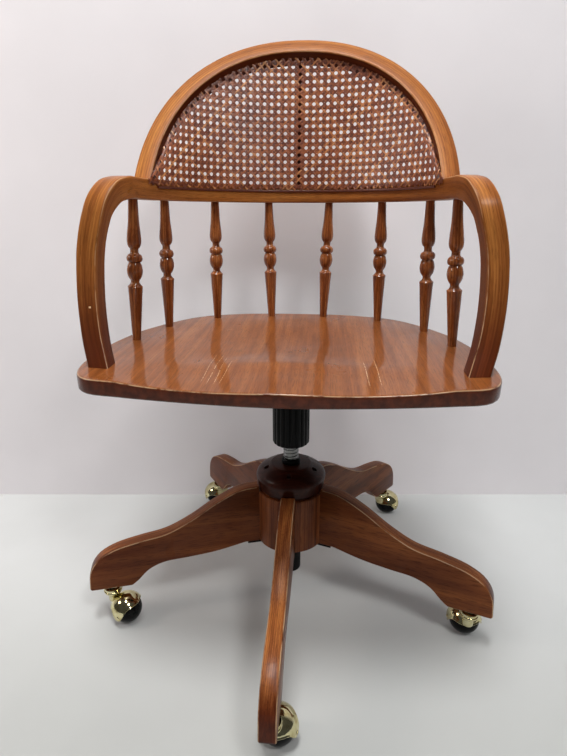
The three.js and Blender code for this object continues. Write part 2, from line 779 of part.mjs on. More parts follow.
// Fluted collar that is turned by hand to raise the seat.
function buildCollar() {
  const points = fluteCount * 2;
  const fluted = (height, depth, radius) => Array.from({ length: points }, (_, k) => {
    const angle = 2 * Math.PI * k / points;
    const r = radius - (k % 2 === 0 ? depth : 0);
    return new THREE.Vector3(Math.cos(angle) * r, Math.sin(angle) * r, height);
  });
  const rings = [
    fluted(collarBottom, 0, collarRadius - collarRound),
    fluted(collarBottom + collarRound, fluteDepth, collarRadius),
    fluted(collarTop, fluteDepth, collarRadius),
    fluted(collarTop, 0, screwBore),
    fluted(collarBottom, 0, screwBore),
  ];
  add('height_collar', skin(rings, true), plastic(blackPlastic));
}

function buildColumn() {
  const screwFoot = tubeBottom + tubeFloor + seatGap;
  add('lift_screw', bar(screwRadius, screwFoot, screwTop, 20), metal(zincSteel, 0.25));
  const tubeInside = tubeRadius - tubeWall;
  const tubeTop = hubTop;
  const tube = turned([
    [0, tubeBottom], [tubeRadius - tubeWall, tubeBottom], [tubeRadius, tubeBottom + tubeWall],
    [tubeRadius, tubeTop], [tubeInside, tubeTop], [tubeInside, tubeBottom + tubeFloor],
    [0, tubeBottom + tubeFloor],
  ], 20);
  add('column_tube', tube, metal(blackSteel, 0.45));
  const rimBottom = bushingTop - bushingRim;
  const shank = screwBore + (tubeInside - screwBore) / 2;
  const bushing = turned([
    [screwBore, rimBottom - bushingLength], [shank, rimBottom - bushingLength], [shank, rimBottom],
    [bushingRadius, rimBottom], [bushingRadius, bushingTop], [screwBore, bushingTop],
    [screwBore, rimBottom - bushingLength],
  ], 16);
  add('screw_bushing', bushing, plastic(blackPlastic));
}

function buildHub() {
  const bore = tubeRadius + seatGap;
  const hub = turned([
    [bore, hubBottom], [hubRadius - hubChamfer, hubBottom], [hubRadius, hubBottom + hubChamfer],
    [hubRadius, hubTop - hubChamfer], [hubRadius - hubChamfer, hubTop], [bore, hubTop], [bore, hubBottom],
  ], 32);
  add('hub', hub, lacqueredWood(woodLight));
  const capBottom = hubTop + seatGap;
  const capTop = bushingTop - bushingRim - seatGap;
  const rise = capTop - capBottom;
  const capBore = bushingRadius - (bushingRadius - screwBore) / 4;
  const capShares = [ // radius as a share of the hub's, height as a share of the cap's rise
    [0.9, 0], [0.94, 0.06], [0.965, 0.2], [1, 0.42], [1, 0.55], [0.965, 0.66], [0.6, 0.95], [0.54, 1],
  ];
  const cap = capShares.map(([r, h]) => [r * hubRadius, capBottom + h * rise]);
  add('hub_cap', turned([[capBore, capBottom], ...cap, [capBore, capTop], [capBore, capBottom]], 24),
    lacqueredWood(woodDark));
}

// Steel plate under the hub, with an arm under each leg.
function buildBottomPlate() {
  const top = hubBottom - seatGap;
  const disc = ringBody(tubeRadius + seatGap, plateDisc, top - hubBottomPlate, top, 20);
  const arms = legAngles().map((angle) => {
    const arm = new THREE.BoxGeometry(plateArm - plateDisc / 2, plateArmWidth, hubBottomPlate);
    arm.translate((plateArm + plateDisc / 2) / 2, 0, top - hubBottomPlate / 2);
    return arm.rotateZ(angle);
  });
  add('bottom_plate', join(disc, ...arms), metal(blackSteel, 0.5));
}

function legAngles() {
  return Array.from({ length: legCount }, (_, k) => baseTurn - Math.PI / 2 + 2 * Math.PI * k / legCount);
}

// Leg outline, as shares of its reach and of its rise above the foot
const legTopShares = [
  [0.16, 1], [0.257, 0.978], [0.374, 0.862], [0.504, 0.689], [0.622, 0.571], [0.749, 0.521],
  [0.869, 0.457], [0.946, 0.362], [0.987, 0.229], [1, 0.02],
];
const legUnderShares = [
  [0.802, 0], [0.771, 0.051], [0.717, 0.165], [0.643, 0.232], [0.521, 0.252], [0.387, 0.279], [0.238, 0.343],
];

function legOutline() {
  const rise = legTop - footHeight;
  const place = ([r, h]) => new THREE.Vector2(r * legReach, footHeight + h * rise);
  const over = new THREE.SplineCurve(legTopShares.map(place)).getSpacedPoints(legCurvePoints);
  const under = new THREE.SplineCurve(legUnderShares.map(place)).getSpacedPoints(legCurvePoints / 2);
  const sole = new THREE.Vector2(legReach - legEdge, footHeight);
  const root = new THREE.Vector2(hubRadius / 2, hubBottom);
  const head = new THREE.Vector2(hubRadius / 2, legTop);
  return [head, ...over, sole, ...under, root].map((p) => p.toArray());
}

const stemTop = footHeight + stemLength;
const socketInside = stemRadius + runGap;
const socketOutside = socketInside + socketWall;

function buildLegs() {
  const blank = slabAcross(legOutline(), legThickness, legEdge).rotateZ(-Math.PI / 2);
  const hubCut = bar(hubRadius + seatGap, footHeight, legTop + cutOverrun, 40);
  const socketHole = bar(socketOutside + seatGap, footHeight - cutOverrun, stemTop + seatGap + seatGap, 12)
    .translate(casterRadius, 0, 0);
  const leg = cut(blank, hubCut, socketHole);
  legAngles().forEach((angle, k) => {
    add(`leg_${k + 1}`, leg.clone().rotateZ(angle), lacqueredWood(woodLight));
  });
}

// Casters, built about the stem with the ball trailing along +X
const ballFlatShare = Math.cos(Math.PI / ballSides) * Math.cos(Math.PI / ballBands / 2);
const ballHeight = ballRadius * ballFlatShare; // the ball stands on one of its flats

// A direction from the ball's middle: the angle down from the top, and round from straight ahead.
function hoodDirection(down, round) {
  const level = new THREE.Vector3(Math.cos(round), Math.sin(round), 0);
  return level.multiplyScalar(Math.sin(down)).addScaledVector(Z, Math.cos(down));
}

// A hollow cap over the ball, its rim arched ahead and behind and dropped into an ear at each
// end of the axle.
function hoodShell() {
  const inside = ballRadius + hoodGap;
  const centre = new THREE.Vector3(trail, 0, ballHeight);
  const ringAt = (radius, share) => Array.from({ length: hoodSides }, (_, k) => {
    const turn = 2 * Math.PI * k / hoodSides;
    const round = turn + earBunching * Math.sin(2 * turn);
    const ear = earDrop * Math.abs(Math.sin(round)) ** earSharpness;
    const rim = Math.PI / 2 - hoodRimRise - hoodRimLean * Math.cos(round) + ear;
    return centre.clone().addScaledVector(hoodDirection(rim * share, round), radius);
  });
  const shares = Array.from({ length: hoodBands }, (_, k) => (k + 1 / hoodBands) / (hoodBands - 1 + 1 / hoodBands));
  const outer = shares.map((share) => ringAt(inside + hoodWall, share));
  const inner = [...shares].reverse().map((share) => ringAt(inside, share));
  return skin([...outer, ...inner]);
}

function casterStem() {
  const cupTop = footHeight - seatGap - socketFlangeThickness - seatGap;
  return turned([
    [0, neckBottom], [neckRadius, neckBottom], [neckRadius, neckTop], [cupRadius, cupBottom],
    [cupRadius, cupTop], [stemRadius, cupTop], [stemRadius, stemTop], [0, stemTop],
  ], 10);
}

function hoodBody() {
  const inside = ballRadius + hoodGap;
  const hollow = new THREE.SphereGeometry(inside, hoodSides, hoodBands + hoodBands)
    .translate(trail, 0, ballHeight);
  const axleHole = bar(axleRadius + runGap, -inside - hoodWall - cutOverrun, inside + hoodWall + cutOverrun, 8)
    .rotateX(Math.PI / 2).translate(trail, 0, ballHeight);
  return cut(join(hoodShell(), cut(casterStem(), hollow)), axleHole);
}

function ballBody() {
  const globe = new THREE.SphereGeometry(ballRadius, ballSides, ballBands);
  globe.rotateY(Math.PI / ballSides + Math.PI / 2);
  const bore = bar(axleRadius + runGap, -ballRadius - cutOverrun, ballRadius + cutOverrun, 8)
    .rotateX(Math.PI / 2);
  return cut(globe, bore).translate(trail, 0, ballHeight);
}

function axleBody() {
  const inner = ballRadius + hoodGap + hoodWall + seatGap;
  const outer = inner + rivetHeight;
  return turned([
    [0, -outer], [rivetRadius, -outer], [rivetRadius, -inner], [axleRadius, -inner],
    [axleRadius, inner], [rivetRadius, inner], [rivetRadius, outer], [0, outer],
  ], 8).rotateX(Math.PI / 2).translate(trail, 0, ballHeight);
}

function socketBody() {
  const flangeTop = footHeight - seatGap;
  const flangeBottom = flangeTop - socketFlangeThickness;
  return turned([
    [socketInside, flangeBottom], [socketFlange, flangeBottom], [socketFlange, flangeTop],
    [socketOutside, flangeTop], [socketOutside, stemTop], [socketInside, stemTop],
    [socketInside, flangeBottom],
  ], 10);
}

function buildCasters() {
  const pieces = [
    ['caster_socket', socketBody(), metal(zincSteel, 0.4)],
    ['caster_hood', hoodBody(), metal(brassGold, 0.18)],
    ['caster_ball', ballBody(), plastic(blackPlastic)],
    ['caster_axle', axleBody(), metal(zincSteel, 0.3)],
  ];
  legAngles().forEach((angle, k) => {
    for (const [name, geometry, look] of pieces) {
      const piece = add(`${name}_${k + 1}`, geometry, look);
      piece.position.set(Math.cos(angle) * casterRadius, Math.sin(angle) * casterRadius, 0);
      piece.rotation.z = casterTurns[k];
    }
  });
}

buildSeat();
buildArmBow();
buildCrestBow();
buildCanePanel();
buildCaneSpline();
buildBackSlat();
buildSpindles();
buildSeatPlate();
buildHousing();
buildTiltParts();
buildCollar();
buildColumn();
buildHub();
buildBottomPlate();
buildLegs();
buildCasters();

// The part's own frame stands on the floor under the middle of its bounding box.
const box = new THREE.Box3().setFromObject(chair);
const middle = box.getCenter(new THREE.Vector3());
chair.position.set(-middle.x, -middle.y, -box.min.z);

const part = new THREE.Group();
part.add(chair);

export default part;
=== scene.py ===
# A bankers swivel chair, dressed: bent and turned oak, woven cane, brass-hooded ball casters.
# Shapes are given in millimetres from the swivel axis at floor height, as the chair itself is
# measured; finished() turns each piece into the row's metres. The sitter looks along -Y.
import math
import random
from contextlib import contextmanager
from math import cos, radians, sin

import bpy
from mathutils import Matrix, Vector


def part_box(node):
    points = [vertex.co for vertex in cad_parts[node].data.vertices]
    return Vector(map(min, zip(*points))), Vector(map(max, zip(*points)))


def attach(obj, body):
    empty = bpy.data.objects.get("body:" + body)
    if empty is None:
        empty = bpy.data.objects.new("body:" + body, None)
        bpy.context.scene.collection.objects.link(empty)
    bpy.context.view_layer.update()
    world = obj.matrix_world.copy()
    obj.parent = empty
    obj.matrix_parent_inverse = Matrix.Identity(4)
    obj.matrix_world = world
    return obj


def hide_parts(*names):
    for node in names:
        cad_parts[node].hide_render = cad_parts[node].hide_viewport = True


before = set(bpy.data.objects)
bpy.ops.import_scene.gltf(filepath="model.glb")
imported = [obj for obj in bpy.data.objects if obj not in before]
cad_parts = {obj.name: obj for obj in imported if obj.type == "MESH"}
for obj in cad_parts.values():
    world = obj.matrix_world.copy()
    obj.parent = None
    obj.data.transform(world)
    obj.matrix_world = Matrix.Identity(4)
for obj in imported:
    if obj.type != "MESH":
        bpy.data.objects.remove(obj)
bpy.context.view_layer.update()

screw_low, screw_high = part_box("lift_screw")
SWIVEL_AXIS = Vector(((screw_low.x + screw_high.x) / 2, (screw_low.y + screw_high.y) / 2, 0))
TO_METRES = Matrix.Translation(SWIVEL_AXIS) @ Matrix.Scale(0.001, 4)
UP = Vector((0, 0, 1))
chance = random.Random(11)


# Ways of working

def drop_selection():
    if bpy.context.mode != "OBJECT":
        bpy.ops.object.mode_set(mode="OBJECT")
    bpy.ops.object.select_all(action="DESELECT")


def take(piece):
    drop_selection()
    bpy.context.view_layer.objects.active = piece
    piece.select_set(True)


@contextmanager
def editing(piece, whole=True):
    """Edit mode, with the whole piece selected or else what is already chosen."""
    take(piece)
    bpy.ops.object.mode_set(mode="EDIT")
    if whole:
        bpy.ops.mesh.select_all(action="SELECT")
    yield
    bpy.ops.object.mode_set(mode="OBJECT")


def turn_faces_out():
    bpy.ops.mesh.normals_make_consistent(inside=False)


def named(name):
    piece = bpy.context.active_object
    piece.name = piece.data.name = name
    return piece


def added(name, primitive, **settings):
    """A plain shape, such as a cube, under a name."""
    drop_selection()
    primitive(**settings)
    return named(name)


def move_points(piece, points):
    for vertex, point in zip(piece.data.vertices, points):
        vertex.co = point


def loop_of(name, points):
    """A circle whose corners are moved onto the given points."""
    piece = added(name, bpy.ops.mesh.primitive_circle_add, vertices=len(points))
    move_points(piece, points)
    return piece


def drawn_out(name, rings, filled=True):
    """A skin drawn ring by ring out of a loop, filled at both ends or joined end to end."""
    piece = loop_of(name, rings[0])
    with editing(piece):
        if filled:
            bpy.ops.mesh.edge_face_add()
        for _ in rings[1:]:
            bpy.ops.mesh.extrude_region_move()
    move_points(piece, [point for ring in rings for point in ring])
    with editing(piece):
        if not filled:
            bpy.ops.mesh.remove_doubles(threshold=0.001)
        turn_faces_out()
    return piece


def turned(name, profile, steps=64):
    """Spins a closed profile of (radius, height) round the Z axis."""
    piece = loop_of(name, [Vector((radius, 0, height)) for radius, height in profile])
    with editing(piece):
        bpy.ops.mesh.spin(steps=steps, angle=math.tau, center=(0, 0, 0), axis=(0, 0, 1))
        bpy.ops.mesh.select_all(action="SELECT")
        bpy.ops.mesh.remove_doubles(threshold=0.001)
        bpy.ops.mesh.delete_loose(use_verts=True, use_edges=True, use_faces=False)
        bpy.ops.mesh.select_all(action="SELECT")
        turn_faces_out()
    return piece


def sawn(name, outline, thickness, rounding):
    """A board cut to an outline of (forward, up) in the X-Z plane, its edges rounded over."""
    piece = loop_of(name, [Vector((x, -thickness / 2, z)) for x, z in outline])
    with editing(piece):
        bpy.ops.mesh.edge_face_add()
        bpy.ops.mesh.extrude_region_move(TRANSFORM_OT_translate={"value": (0, thickness, 0)})
        bpy.ops.mesh.select_all(action="SELECT")
        turn_faces_out()
        bpy.ops.mesh.select_all(action="DESELECT")
    for edge in piece.data.edges:
        near, far = (piece.data.vertices[end].co for end in edge.vertices)
        edge.select = abs(near.y - far.y) < thickness / 2
    with editing(piece, whole=False):
        bpy.ops.mesh.bevel(offset=rounding, segments=3, affect="EDGES")
    return piece


def modified(piece, kind, **settings):
    """Gives a piece one modifier and applies it."""
    take(piece)
    bpy.ops.object.modifier_add(type=kind)
    modifier = piece.modifiers[-1]
    for name, value in settings.items():
        setattr(modifier, name, value)
    bpy.ops.object.modifier_apply(modifier=modifier.name)


def cut_away(piece, tool):
    """Takes the tool's shape out of the piece, and removes the tool."""
    modified(piece, "BOOLEAN", operation="DIFFERENCE", solver="EXACT", object=tool)
    bpy.data.objects.remove(tool)


def copied(piece, name):
    """A copy with its own mesh."""
    copy = piece.copy()
    copy.data = piece.data.copy()
    copy.name = copy.data.name = name
    bpy.context.collection.objects.link(copy)
    return copy


def joined(pieces, name):
    take(pieces[0])
    for piece in pieces[1:]:
        piece.select_set(True)
    bpy.ops.object.join()
    return named(name)


def give_grain(piece, straight=lambda place: place):
    """Keeps where each point lay in its straight board, in metres, first along the grain."""
    start = Vector((chance.uniform(0, 4), chance.uniform(-0.05, 0.05), chance.uniform(0.02, 0.09)))
    if "grain" not in piece.data.attributes:
        piece.data.attributes.new("grain", "FLOAT_VECTOR", "POINT")
    for vertex, kept in zip(piece.data.vertices, piece.data.attributes["grain"].data):
        kept.vector = straight(vertex.co) * 0.001 + start


def give_amounts(piece, name, amounts):
    """Keeps one number from 0 to 1 for each point, under the name by which a finish reads it."""
    kept = piece.data.attributes.new(name, "FLOAT", "POINT")
    for entry, amount in zip(kept.data, amounts):
        entry.value = amount


def give_wear(piece, amounts):
    """How far each point has lost its lacquer."""
    give_amounts(piece, "wear", amounts)


def give_stain_and_shade(piece, amount_at):
    """How much each point is darkened, by its place and its number; on the arm posts, the hoop's
    inner face and the legs this is painted shade.
    """
    give_amounts(piece, "stain", [amount_at(vertex.co, number)
                                  for number, vertex in enumerate(piece.data.vertices)])


def give_tint(piece, shade):
    """Where the whole piece lies among the browns of the cane."""
    give_amounts(piece, "tint", [shade] * len(piece.data.vertices))


def finished(piece, body, slot, material, *nodes, sharp=35):
    """Puts a piece in its place in metres, on its body and in its finish."""
    piece.data.transform(TO_METRES)
    piece.data.materials.clear()
    piece.data.materials.append(material)
    take(piece)
    bpy.ops.object.shade_smooth_by_angle(angle=radians(sharp))
    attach(piece, body)
    if nodes:
        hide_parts(*nodes)


# Lines and sections

def flowing(points, pieces, closed=False):
    """A smooth line through the points, with so many places for each span."""
    count = len(points)
    line = []
    for i in range(count if closed else count - 1):
        b, c = points[i], points[(i + 1) % count]
        a = points[i - 1] if closed or i > 0 else b * 2 - c
        d = points[(i + 2) % count] if closed or i + 2 < count else c * 2 - b
        first = (b - a).length ** 0.5
        second = first + (c - b).length ** 0.5
        third = second + (d - c).length ** 0.5
        for k in range(pieces):
            t = first + (second - first) * k / pieces
            ab = a.lerp(b, t / first)
            bc = b.lerp(c, (t - first) / (second - first))
            cd = c.lerp(d, (t - second) / (third - second))
            near = ab.lerp(bc, t / second)
            far = bc.lerp(cd, (t - first) / (third - first))
            line.append(near.lerp(far, (t - first) / (second - first)))
    if not closed:
        line.append(points[-1].copy())
    return line


def evenly(line, count, closed=False):
    """So many places at even distances along a line, with both its ends unless it is closed."""
    corners = line + [line[0]] if closed else line
    marks = [0]
    for near, far in zip(corners, corners[1:]):
        marks.append(marks[-1] + (far - near).length)
    places = []
    spans = count if closed else count - 1
    span = 0
    for k in range(count):
        target = marks[-1] * k / spans
        while span < len(corners) - 2 and marks[span + 1] < target:
            span += 1
        share = (target - marks[span]) / (marks[span + 1] - marks[span])
        places.append(corners[span].lerp(corners[span + 1], share))
    return places


def smooth_step(value, low, high):
    share = min(1, max(0, (value - low) / (high - low)))
    return share * share * (3 - 2 * share)


def outward(angle):
    """The level direction at an angle from +X."""
    return Vector((cos(angle), sin(angle), 0))


CORNER_STEPS = 4


def rounded_section(width, height, corner):
    """The corners of a box section with rounded edges, as (across, up)."""
    section = []
    for quarter, (right, top) in enumerate(((1, 1), (-1, 1), (-1, -1), (1, -1))):
        for k in range(CORNER_STEPS + 1):
            angle = radians(90 * (quarter + k / CORNER_STEPS))
            section.append((right * (width / 2 - corner) + corner * cos(angle),
                            top * (height / 2 - corner) + corner * sin(angle)))
    return section


EDGE_WEAR = [sin(math.pi * k / CORNER_STEPS) ** 2 for k in range(CORNER_STEPS + 1)] * 4


def bent(name, frames, sections):
    """Draws a straight bar, marks its grain and its edges, and bends it onto frames of
    (middle, across, up)."""
    marks = [0]
    for near, far in zip(frames, frames[1:]):
        marks.append(marks[-1] + (far[0] - near[0]).length)
    rings = [[Vector((mark, a, b)) for a, b in section] for mark, section in zip(marks, sections)]
    piece = drawn_out(name, rings)
    give_grain(piece)
    give_wear(piece, EDGE_WEAR * len(rings))
    move_points(piece, [middle + across * a + up * b
                        for (middle, across, up), section in zip(frames, sections)
                        for a, b in section])
    with editing(piece):
        turn_faces_out()
    return piece


def set_level(vertices, along, height_at):
    """Slides corners of a bar along it until they lie at a height."""
    for vertex in vertices:
        vertex.co += along * ((height_at(vertex.co) - vertex.co.z) / along.z)


# Finishes

def tone(red, green, blue):
    """A colour as it is seen on a screen, 0 to 255, in the shader's own numbers."""
    return [(channel / 255 / 12.92 if channel < 10.3 else ((channel / 255 + 0.055) / 1.055) ** 2.4)
            for channel in (red, green, blue)] + [1]


class Finish:
    """A material under way, with short ways of adding and joining its nodes."""

    def __init__(self, name, **shader):
        self.material = bpy.data.materials.new(name)
        self.material.use_nodes = True
        self.nodes = self.material.node_tree.nodes
        self.shader = self.nodes["Principled BSDF"]
        for socket, value in shader.items():
            self.feed(self.shader.inputs[socket.replace("_", " ")], value)

    def feed(self, socket, value):
        if isinstance(value, bpy.types.NodeSocket):
            self.material.node_tree.links.new(value, socket)
        else:
            socket.default_value = value

    def add(self, kind, output, settings=(), **inputs):
        node = self.nodes.new(kind)
        for key, value in dict(settings).items():
            setattr(node, key, value)
        for socket, value in inputs.items():
            self.feed(node.inputs[socket.replace("_", " ")], value)
        return node.outputs[output]

    def kept(self, name, output="Vector"):
        return self.add("ShaderNodeAttribute", output, {"attribute_name": name})

    def place(self):
        return self.add("ShaderNodeTexCoord", "Object")

    def stretched(self, vector, scale):
        return self.add("ShaderNodeMapping", "Vector", Vector=vector, Scale=scale)

    def noise(self, vector, scale=1, detail=3, distortion=0):
        return self.add("ShaderNodeTexNoise", "Fac", Vector=vector, Scale=scale, Detail=detail,
                        Roughness=0.55, Distortion=distortion)

    def ramp(self, factor, *stops):
        """Colours at places from 0 to 1."""
        node = self.nodes.new("ShaderNodeValToRGB")
        elements = node.color_ramp.elements
        while len(elements) < len(stops):
            elements.new(0.5)
        for element, (place, colour) in zip(elements, stops):
            element.position, element.color = place, colour
        self.feed(node.inputs["Fac"], factor)
        return node.outputs["Color"]

    def mask(self, factor, low, high):
        """0 below one value and 1 above another, either way round."""
        return self.add("ShaderNodeMapRange", "Result", {"interpolation_type": "SMOOTHSTEP"},
                        Value=factor, From_Min=low, From_Max=high)

    def sum(self, operation, a, b=0.0):
        node = self.nodes.new("ShaderNodeMath")
        node.operation = operation
        self.feed(node.inputs[0], a)
        self.feed(node.inputs[1], b)
        return node.outputs[0]

    def mix(self, factor, a, b, blend="MIX"):
        node = self.nodes.new("ShaderNodeMix")
        node.data_type, node.blend_type = "RGBA", blend
        for index, value in ((0, factor), (6, a), (7, b)):
            self.feed(node.inputs[index], value)
        return node.outputs[2]

    def scratch(self, start, end, width, tall=60):
        """1 along a straight mark between two places on the chair, given in millimetres."""
        start, end = TO_METRES @ Vector(start), TO_METRES @ Vector(end)
        line = end - start
        half = 0.0005
        inside = self.add("ShaderNodeMapping", "Vector", {"vector_type": "TEXTURE"},
                          Vector=self.place(), Location=(start + end) / 2,
                          Scale=(line.length / 2, width * half, tall * half),
                          Rotation=(0, 0, math.atan2(line.y, line.x)))
        reach = self.add("ShaderNodeVectorMath", "Vector", {"operation": "ABSOLUTE"})
        self.feed(reach.node.inputs[0], inside)
        apart = self.add("ShaderNodeSeparateXYZ", "X", Vector=reach)
        farthest = apart
        for side in (1, 2):
            farthest = self.sum("MAXIMUM", farthest, apart.node.outputs[side])
        return self.mask(farthest, 1, 0.7)

    def surface(self, colour, patches, at_low, at_high, low=0.3):
        """The shader's colour, and a roughness that goes from one value to another as the
        patches go from low to 0.7."""
        self.feed(self.shader.inputs["Base Color"], colour)
        self.feed(self.shader.inputs["Roughness"], self.add(
            "ShaderNodeMapRange", "Result", Value=patches, From_Min=low, From_Max=0.7,
            To_Min=at_low, To_Max=at_high))

    def bump(self, height, strength, distance):
        self.feed(self.shader.inputs["Normal"], self.add(
            "ShaderNodeBump", "Normal", Height=height, Strength=strength, Distance=distance))


# The dark stain colour, laid on both as real stain and as painted shade.
OAK_STAIN_AND_SHADE = tone(66, 24, 10)
BARE_OAK = tone(222, 184, 142)


def lacquered_oak(name, pale, middle, dark, board=0, coat=0.2, coat_roughness=0.28, banding=0.45,
                  marks=(), nick=None):
    """Oak under clear lacquer: growth bands, streaks and fine open pores along the kept grain,
    darker where it is stained and where shade is painted in, and bare where it has worn or is
    scratched."""
    f = Finish(name, Coat_Weight=coat, Coat_Roughness=coat_roughness, Specular_IOR_Level=0.05)
    pale, middle, dark = tone(*pale), tone(*middle), tone(*dark)
    grain = f.kept("grain")
    streaks = f.noise(f.stretched(grain, (3, 110, 110)), detail=6, distortion=0.3)
    bands = f.add("ShaderNodeTexWave", "Fac", {"wave_type": "BANDS", "bands_direction": "Y"},
                  Vector=f.stretched(grain, (0.8, 24, 16)), Scale=3.2, Distortion=7, Detail=3,
                  Detail_Scale=0.9)
    pores = f.noise(f.stretched(grain, (45, 1500, 1500)), detail=2)
    colour = f.ramp(streaks, (0.3, dark), (0.5, middle), (0.7, pale))
    colour = f.mix(f.sum("MULTIPLY", bands, banding), colour, dark)
    if board:
        across = f.add("ShaderNodeSeparateXYZ", "Y", Vector=grain)
        number = f.sum("FLOOR", f.sum("DIVIDE", across, board))
        lot = f.add("ShaderNodeTexWhiteNoise", "Value", {"noise_dimensions": "1D"}, W=number)
        colour = f.mix(f.sum("MULTIPLY", lot, 0.35), colour, dark)
    open_pores = f.mask(pores, 0.46, 0.38)
    shade = [channel * 0.35 for channel in dark[:3]] + [1]
    # The stain attribute darkens the wood towards these colours; on the arm posts, the hoop's inner
    # face and the legs that darkening is painted shade.
    pale_stain_and_shade = [channel * 2.2 for channel in OAK_STAIN_AND_SHADE[:3]] + [1]
    stained = f.mix(f.mask(streaks, 0.3, 0.75), OAK_STAIN_AND_SHADE, pale_stain_and_shade)
    colour = f.mix(f.sum("MULTIPLY", f.kept("stain", "Fac"), 0.94), colour, stained)
    colour = f.mix(f.sum("MULTIPLY", open_pores, 0.5), colour, shade)
    patches = f.noise(f.stretched(grain, (25, 60, 60)), detail=4)
    edge = f.sum("POWER", f.kept("wear", "Fac"), 5)
    bare = f.sum("MULTIPLY", edge, f.mask(patches, 0.36, 0.56))
    if marks:
        dashes = f.mask(f.noise(f.place(), 260, detail=2), 0.4, 0.5)
        for mark in marks:
            bare = f.sum("MAXIMUM", bare, f.sum("MULTIPLY", f.scratch(*mark), dashes))
    if nick:
        bare = f.sum("MAXIMUM", bare, f.sum("MULTIPLY", f.scratch(*nick), 1.4))
    colour = f.mix(f.sum("MULTIPLY", bare, 0.75), colour, BARE_OAK)
    f.surface(colour, f.noise(f.stretched(grain, (14, 20, 20))), 0.26, 0.42)
    f.bump(f.sum("SUBTRACT", f.sum("MULTIPLY", streaks, 0.3), open_pores), 0.25, 0.0002)
    return f.material


HOLLOW_Z = 459
SEAT_SCRATCHES = [
    ((x, y, HOLLOW_Z), (far_x, far_y, HOLLOW_Z), width) for x, y, far_x, far_y, width in (
        (-98, -190, -102, -60, 0.9), (-90, -197, -92, -64, 0.9), (-81, -196, -85, -73, 0.9),
        (-75, -195, -74, -96, 0.8), (102, -82, 104, -192, 1.1), (117, -72, 118, -187, 0.9),
        (-111, 62, -102, 70, 1))]
ARM_NICK = ((-251, -140, 535), (-251, -100, 535), 3.4, 2.6)
oak = lacquered_oak("oak_lacquered", (200, 132, 66), (168, 102, 48), (122, 66, 28), nick=ARM_NICK)
seat_oak = lacquered_oak("oak_seat", (160, 98, 50), (142, 82, 40), (118, 64, 29), board=0.088,
                         coat=0.6, coat_roughness=0.08, banding=0.25, marks=SEAT_SCRATCHES)
turned_oak = lacquered_oak("oak_turned", (190, 122, 68), (152, 86, 44), (92, 42, 20),
                           coat=0.8, coat_roughness=0.08)
base_oak = lacquered_oak("oak_base", (188, 118, 62), (150, 86, 44), (98, 48, 22))
hub_oak = lacquered_oak("oak_hub", (180, 108, 62), (140, 79, 44), (86, 41, 21), board=0.021)
cap_oak = lacquered_oak("oak_cap", (78, 34, 20), (60, 25, 15), (44, 17, 10),
                        coat=0.25, coat_roughness=0.3)


def split_cane():
    """Cane strands, each of its own brown, paler on some and glossy on the rind."""
    f = Finish("cane_strands", Coat_Weight=0.3, Coat_Roughness=0.25)
    place = f.place()
    strand = f.kept("tint", "Fac")
    colour = f.ramp(strand, (0, tone(80, 34, 20)), (0.45, tone(124, 62, 34)),
                    (0.75, tone(162, 92, 50)), (1, tone(214, 150, 92)))
    blotches = f.noise(place, 120)
    colour = f.mix(f.sum("MULTIPLY", f.mask(blotches, 0.45, 0.7), 0.5), colour, tone(84, 36, 20))
    f.surface(colour, blotches, 0.35, 0.55)
    fibres = f.noise(place, 1500, detail=2)
    f.bump(fibres, 0.3, 0.0002)
    return f.material


def plated_brass():
    """Bright pale brass plate, a little cloudy and stained."""
    f = Finish("brass_plated", Metallic=1)
    place = f.place()
    stain = f.noise(place, 90, detail=4)
    colour = f.ramp(stain, (0.3, tone(184, 166, 112)), (0.5, tone(220, 210, 162)),
                    (0.7, tone(232, 226, 186)))
    f.surface(colour, stain, 0.16, 0.05, low=0.35)
    f.bump(f.noise(place, 90, detail=2), 0.4, 0.0008)
    return f.material


def moulded_black(name, roughness, dust):
    """Black plastic or paint, finely uneven, with a little dust."""
    f = Finish(name, Specular_IOR_Level=0.1)
    place = f.place()
    patches = f.noise(place, 45, detail=4)
    colour = f.mix(f.mask(patches, 0.45, 0.8), tone(8, 8, 9), tone(dust, dust, dust))
    f.surface(colour, patches, roughness, roughness + 0.14)
    f.bump(f.noise(place, 900, detail=2), 0.1, 0.0002)
    return f.material


def bright_steel(name, shade, roughness):
    """Plated steel with faint smears of oil."""
    f = Finish(name, Metallic=1)
    place = f.place()
    smears = f.noise(f.stretched(place, (60, 60, 12)))
    colour = f.ramp(smears, (0.35, tone(shade - 50, shade - 52, shade - 55)),
                    (0.6, tone(shade, shade, shade)))
    f.surface(colour, smears, roughness, roughness + 0.15)
    return f.material


cane = split_cane()
brass = plated_brass()
ball_black = moulded_black("ball_black", 0.16, 24)
collar_black = moulded_black("collar_black", 0.3, 13)
painted_steel = moulded_black("steel_painted", 0.4, 24)
zinc_steel = bright_steel("steel_zinc", 190, 0.25)
thread_steel = bright_steel("steel_thread", 130, 0.15)


# Seat

GLUE_GAP = 0.1
SEAT_TOP = 463
SEAT_UNDER = 442
SEAT_MIDDLE = Vector((0, -15, 0))
SEAT_HALF = (268, 224, 187)
SEAT_FRONT = [(0, 1), (0.36, 0.973), (0.73, 0.911), (0.905, 0.86), (0.98, 0.71), (1, 0.31)]
SEAT_BACK = [(0.966, -0.02), (0.9, 0.283), (0.66, 0.79), (0.36, 0.965), (0, 1)]
SEAT_ROUNDING = 3.4
DISH_DEPTH = 8.6
FRONT_DEPTH = 5
RIDGE_RISE = 4


def seat_outline():
    half, front, back = SEAT_HALF
    right = [Vector((x * half, -y * front, 0)) for x, y in SEAT_FRONT]
    right += [Vector((x * half, y * back, 0)) for x, y in SEAT_BACK]
    left = [Vector((-point.x, point.y, 0)) for point in reversed(right[1:-1])]
    return evenly(flowing(right + left, 12, closed=True), 160, closed=True)


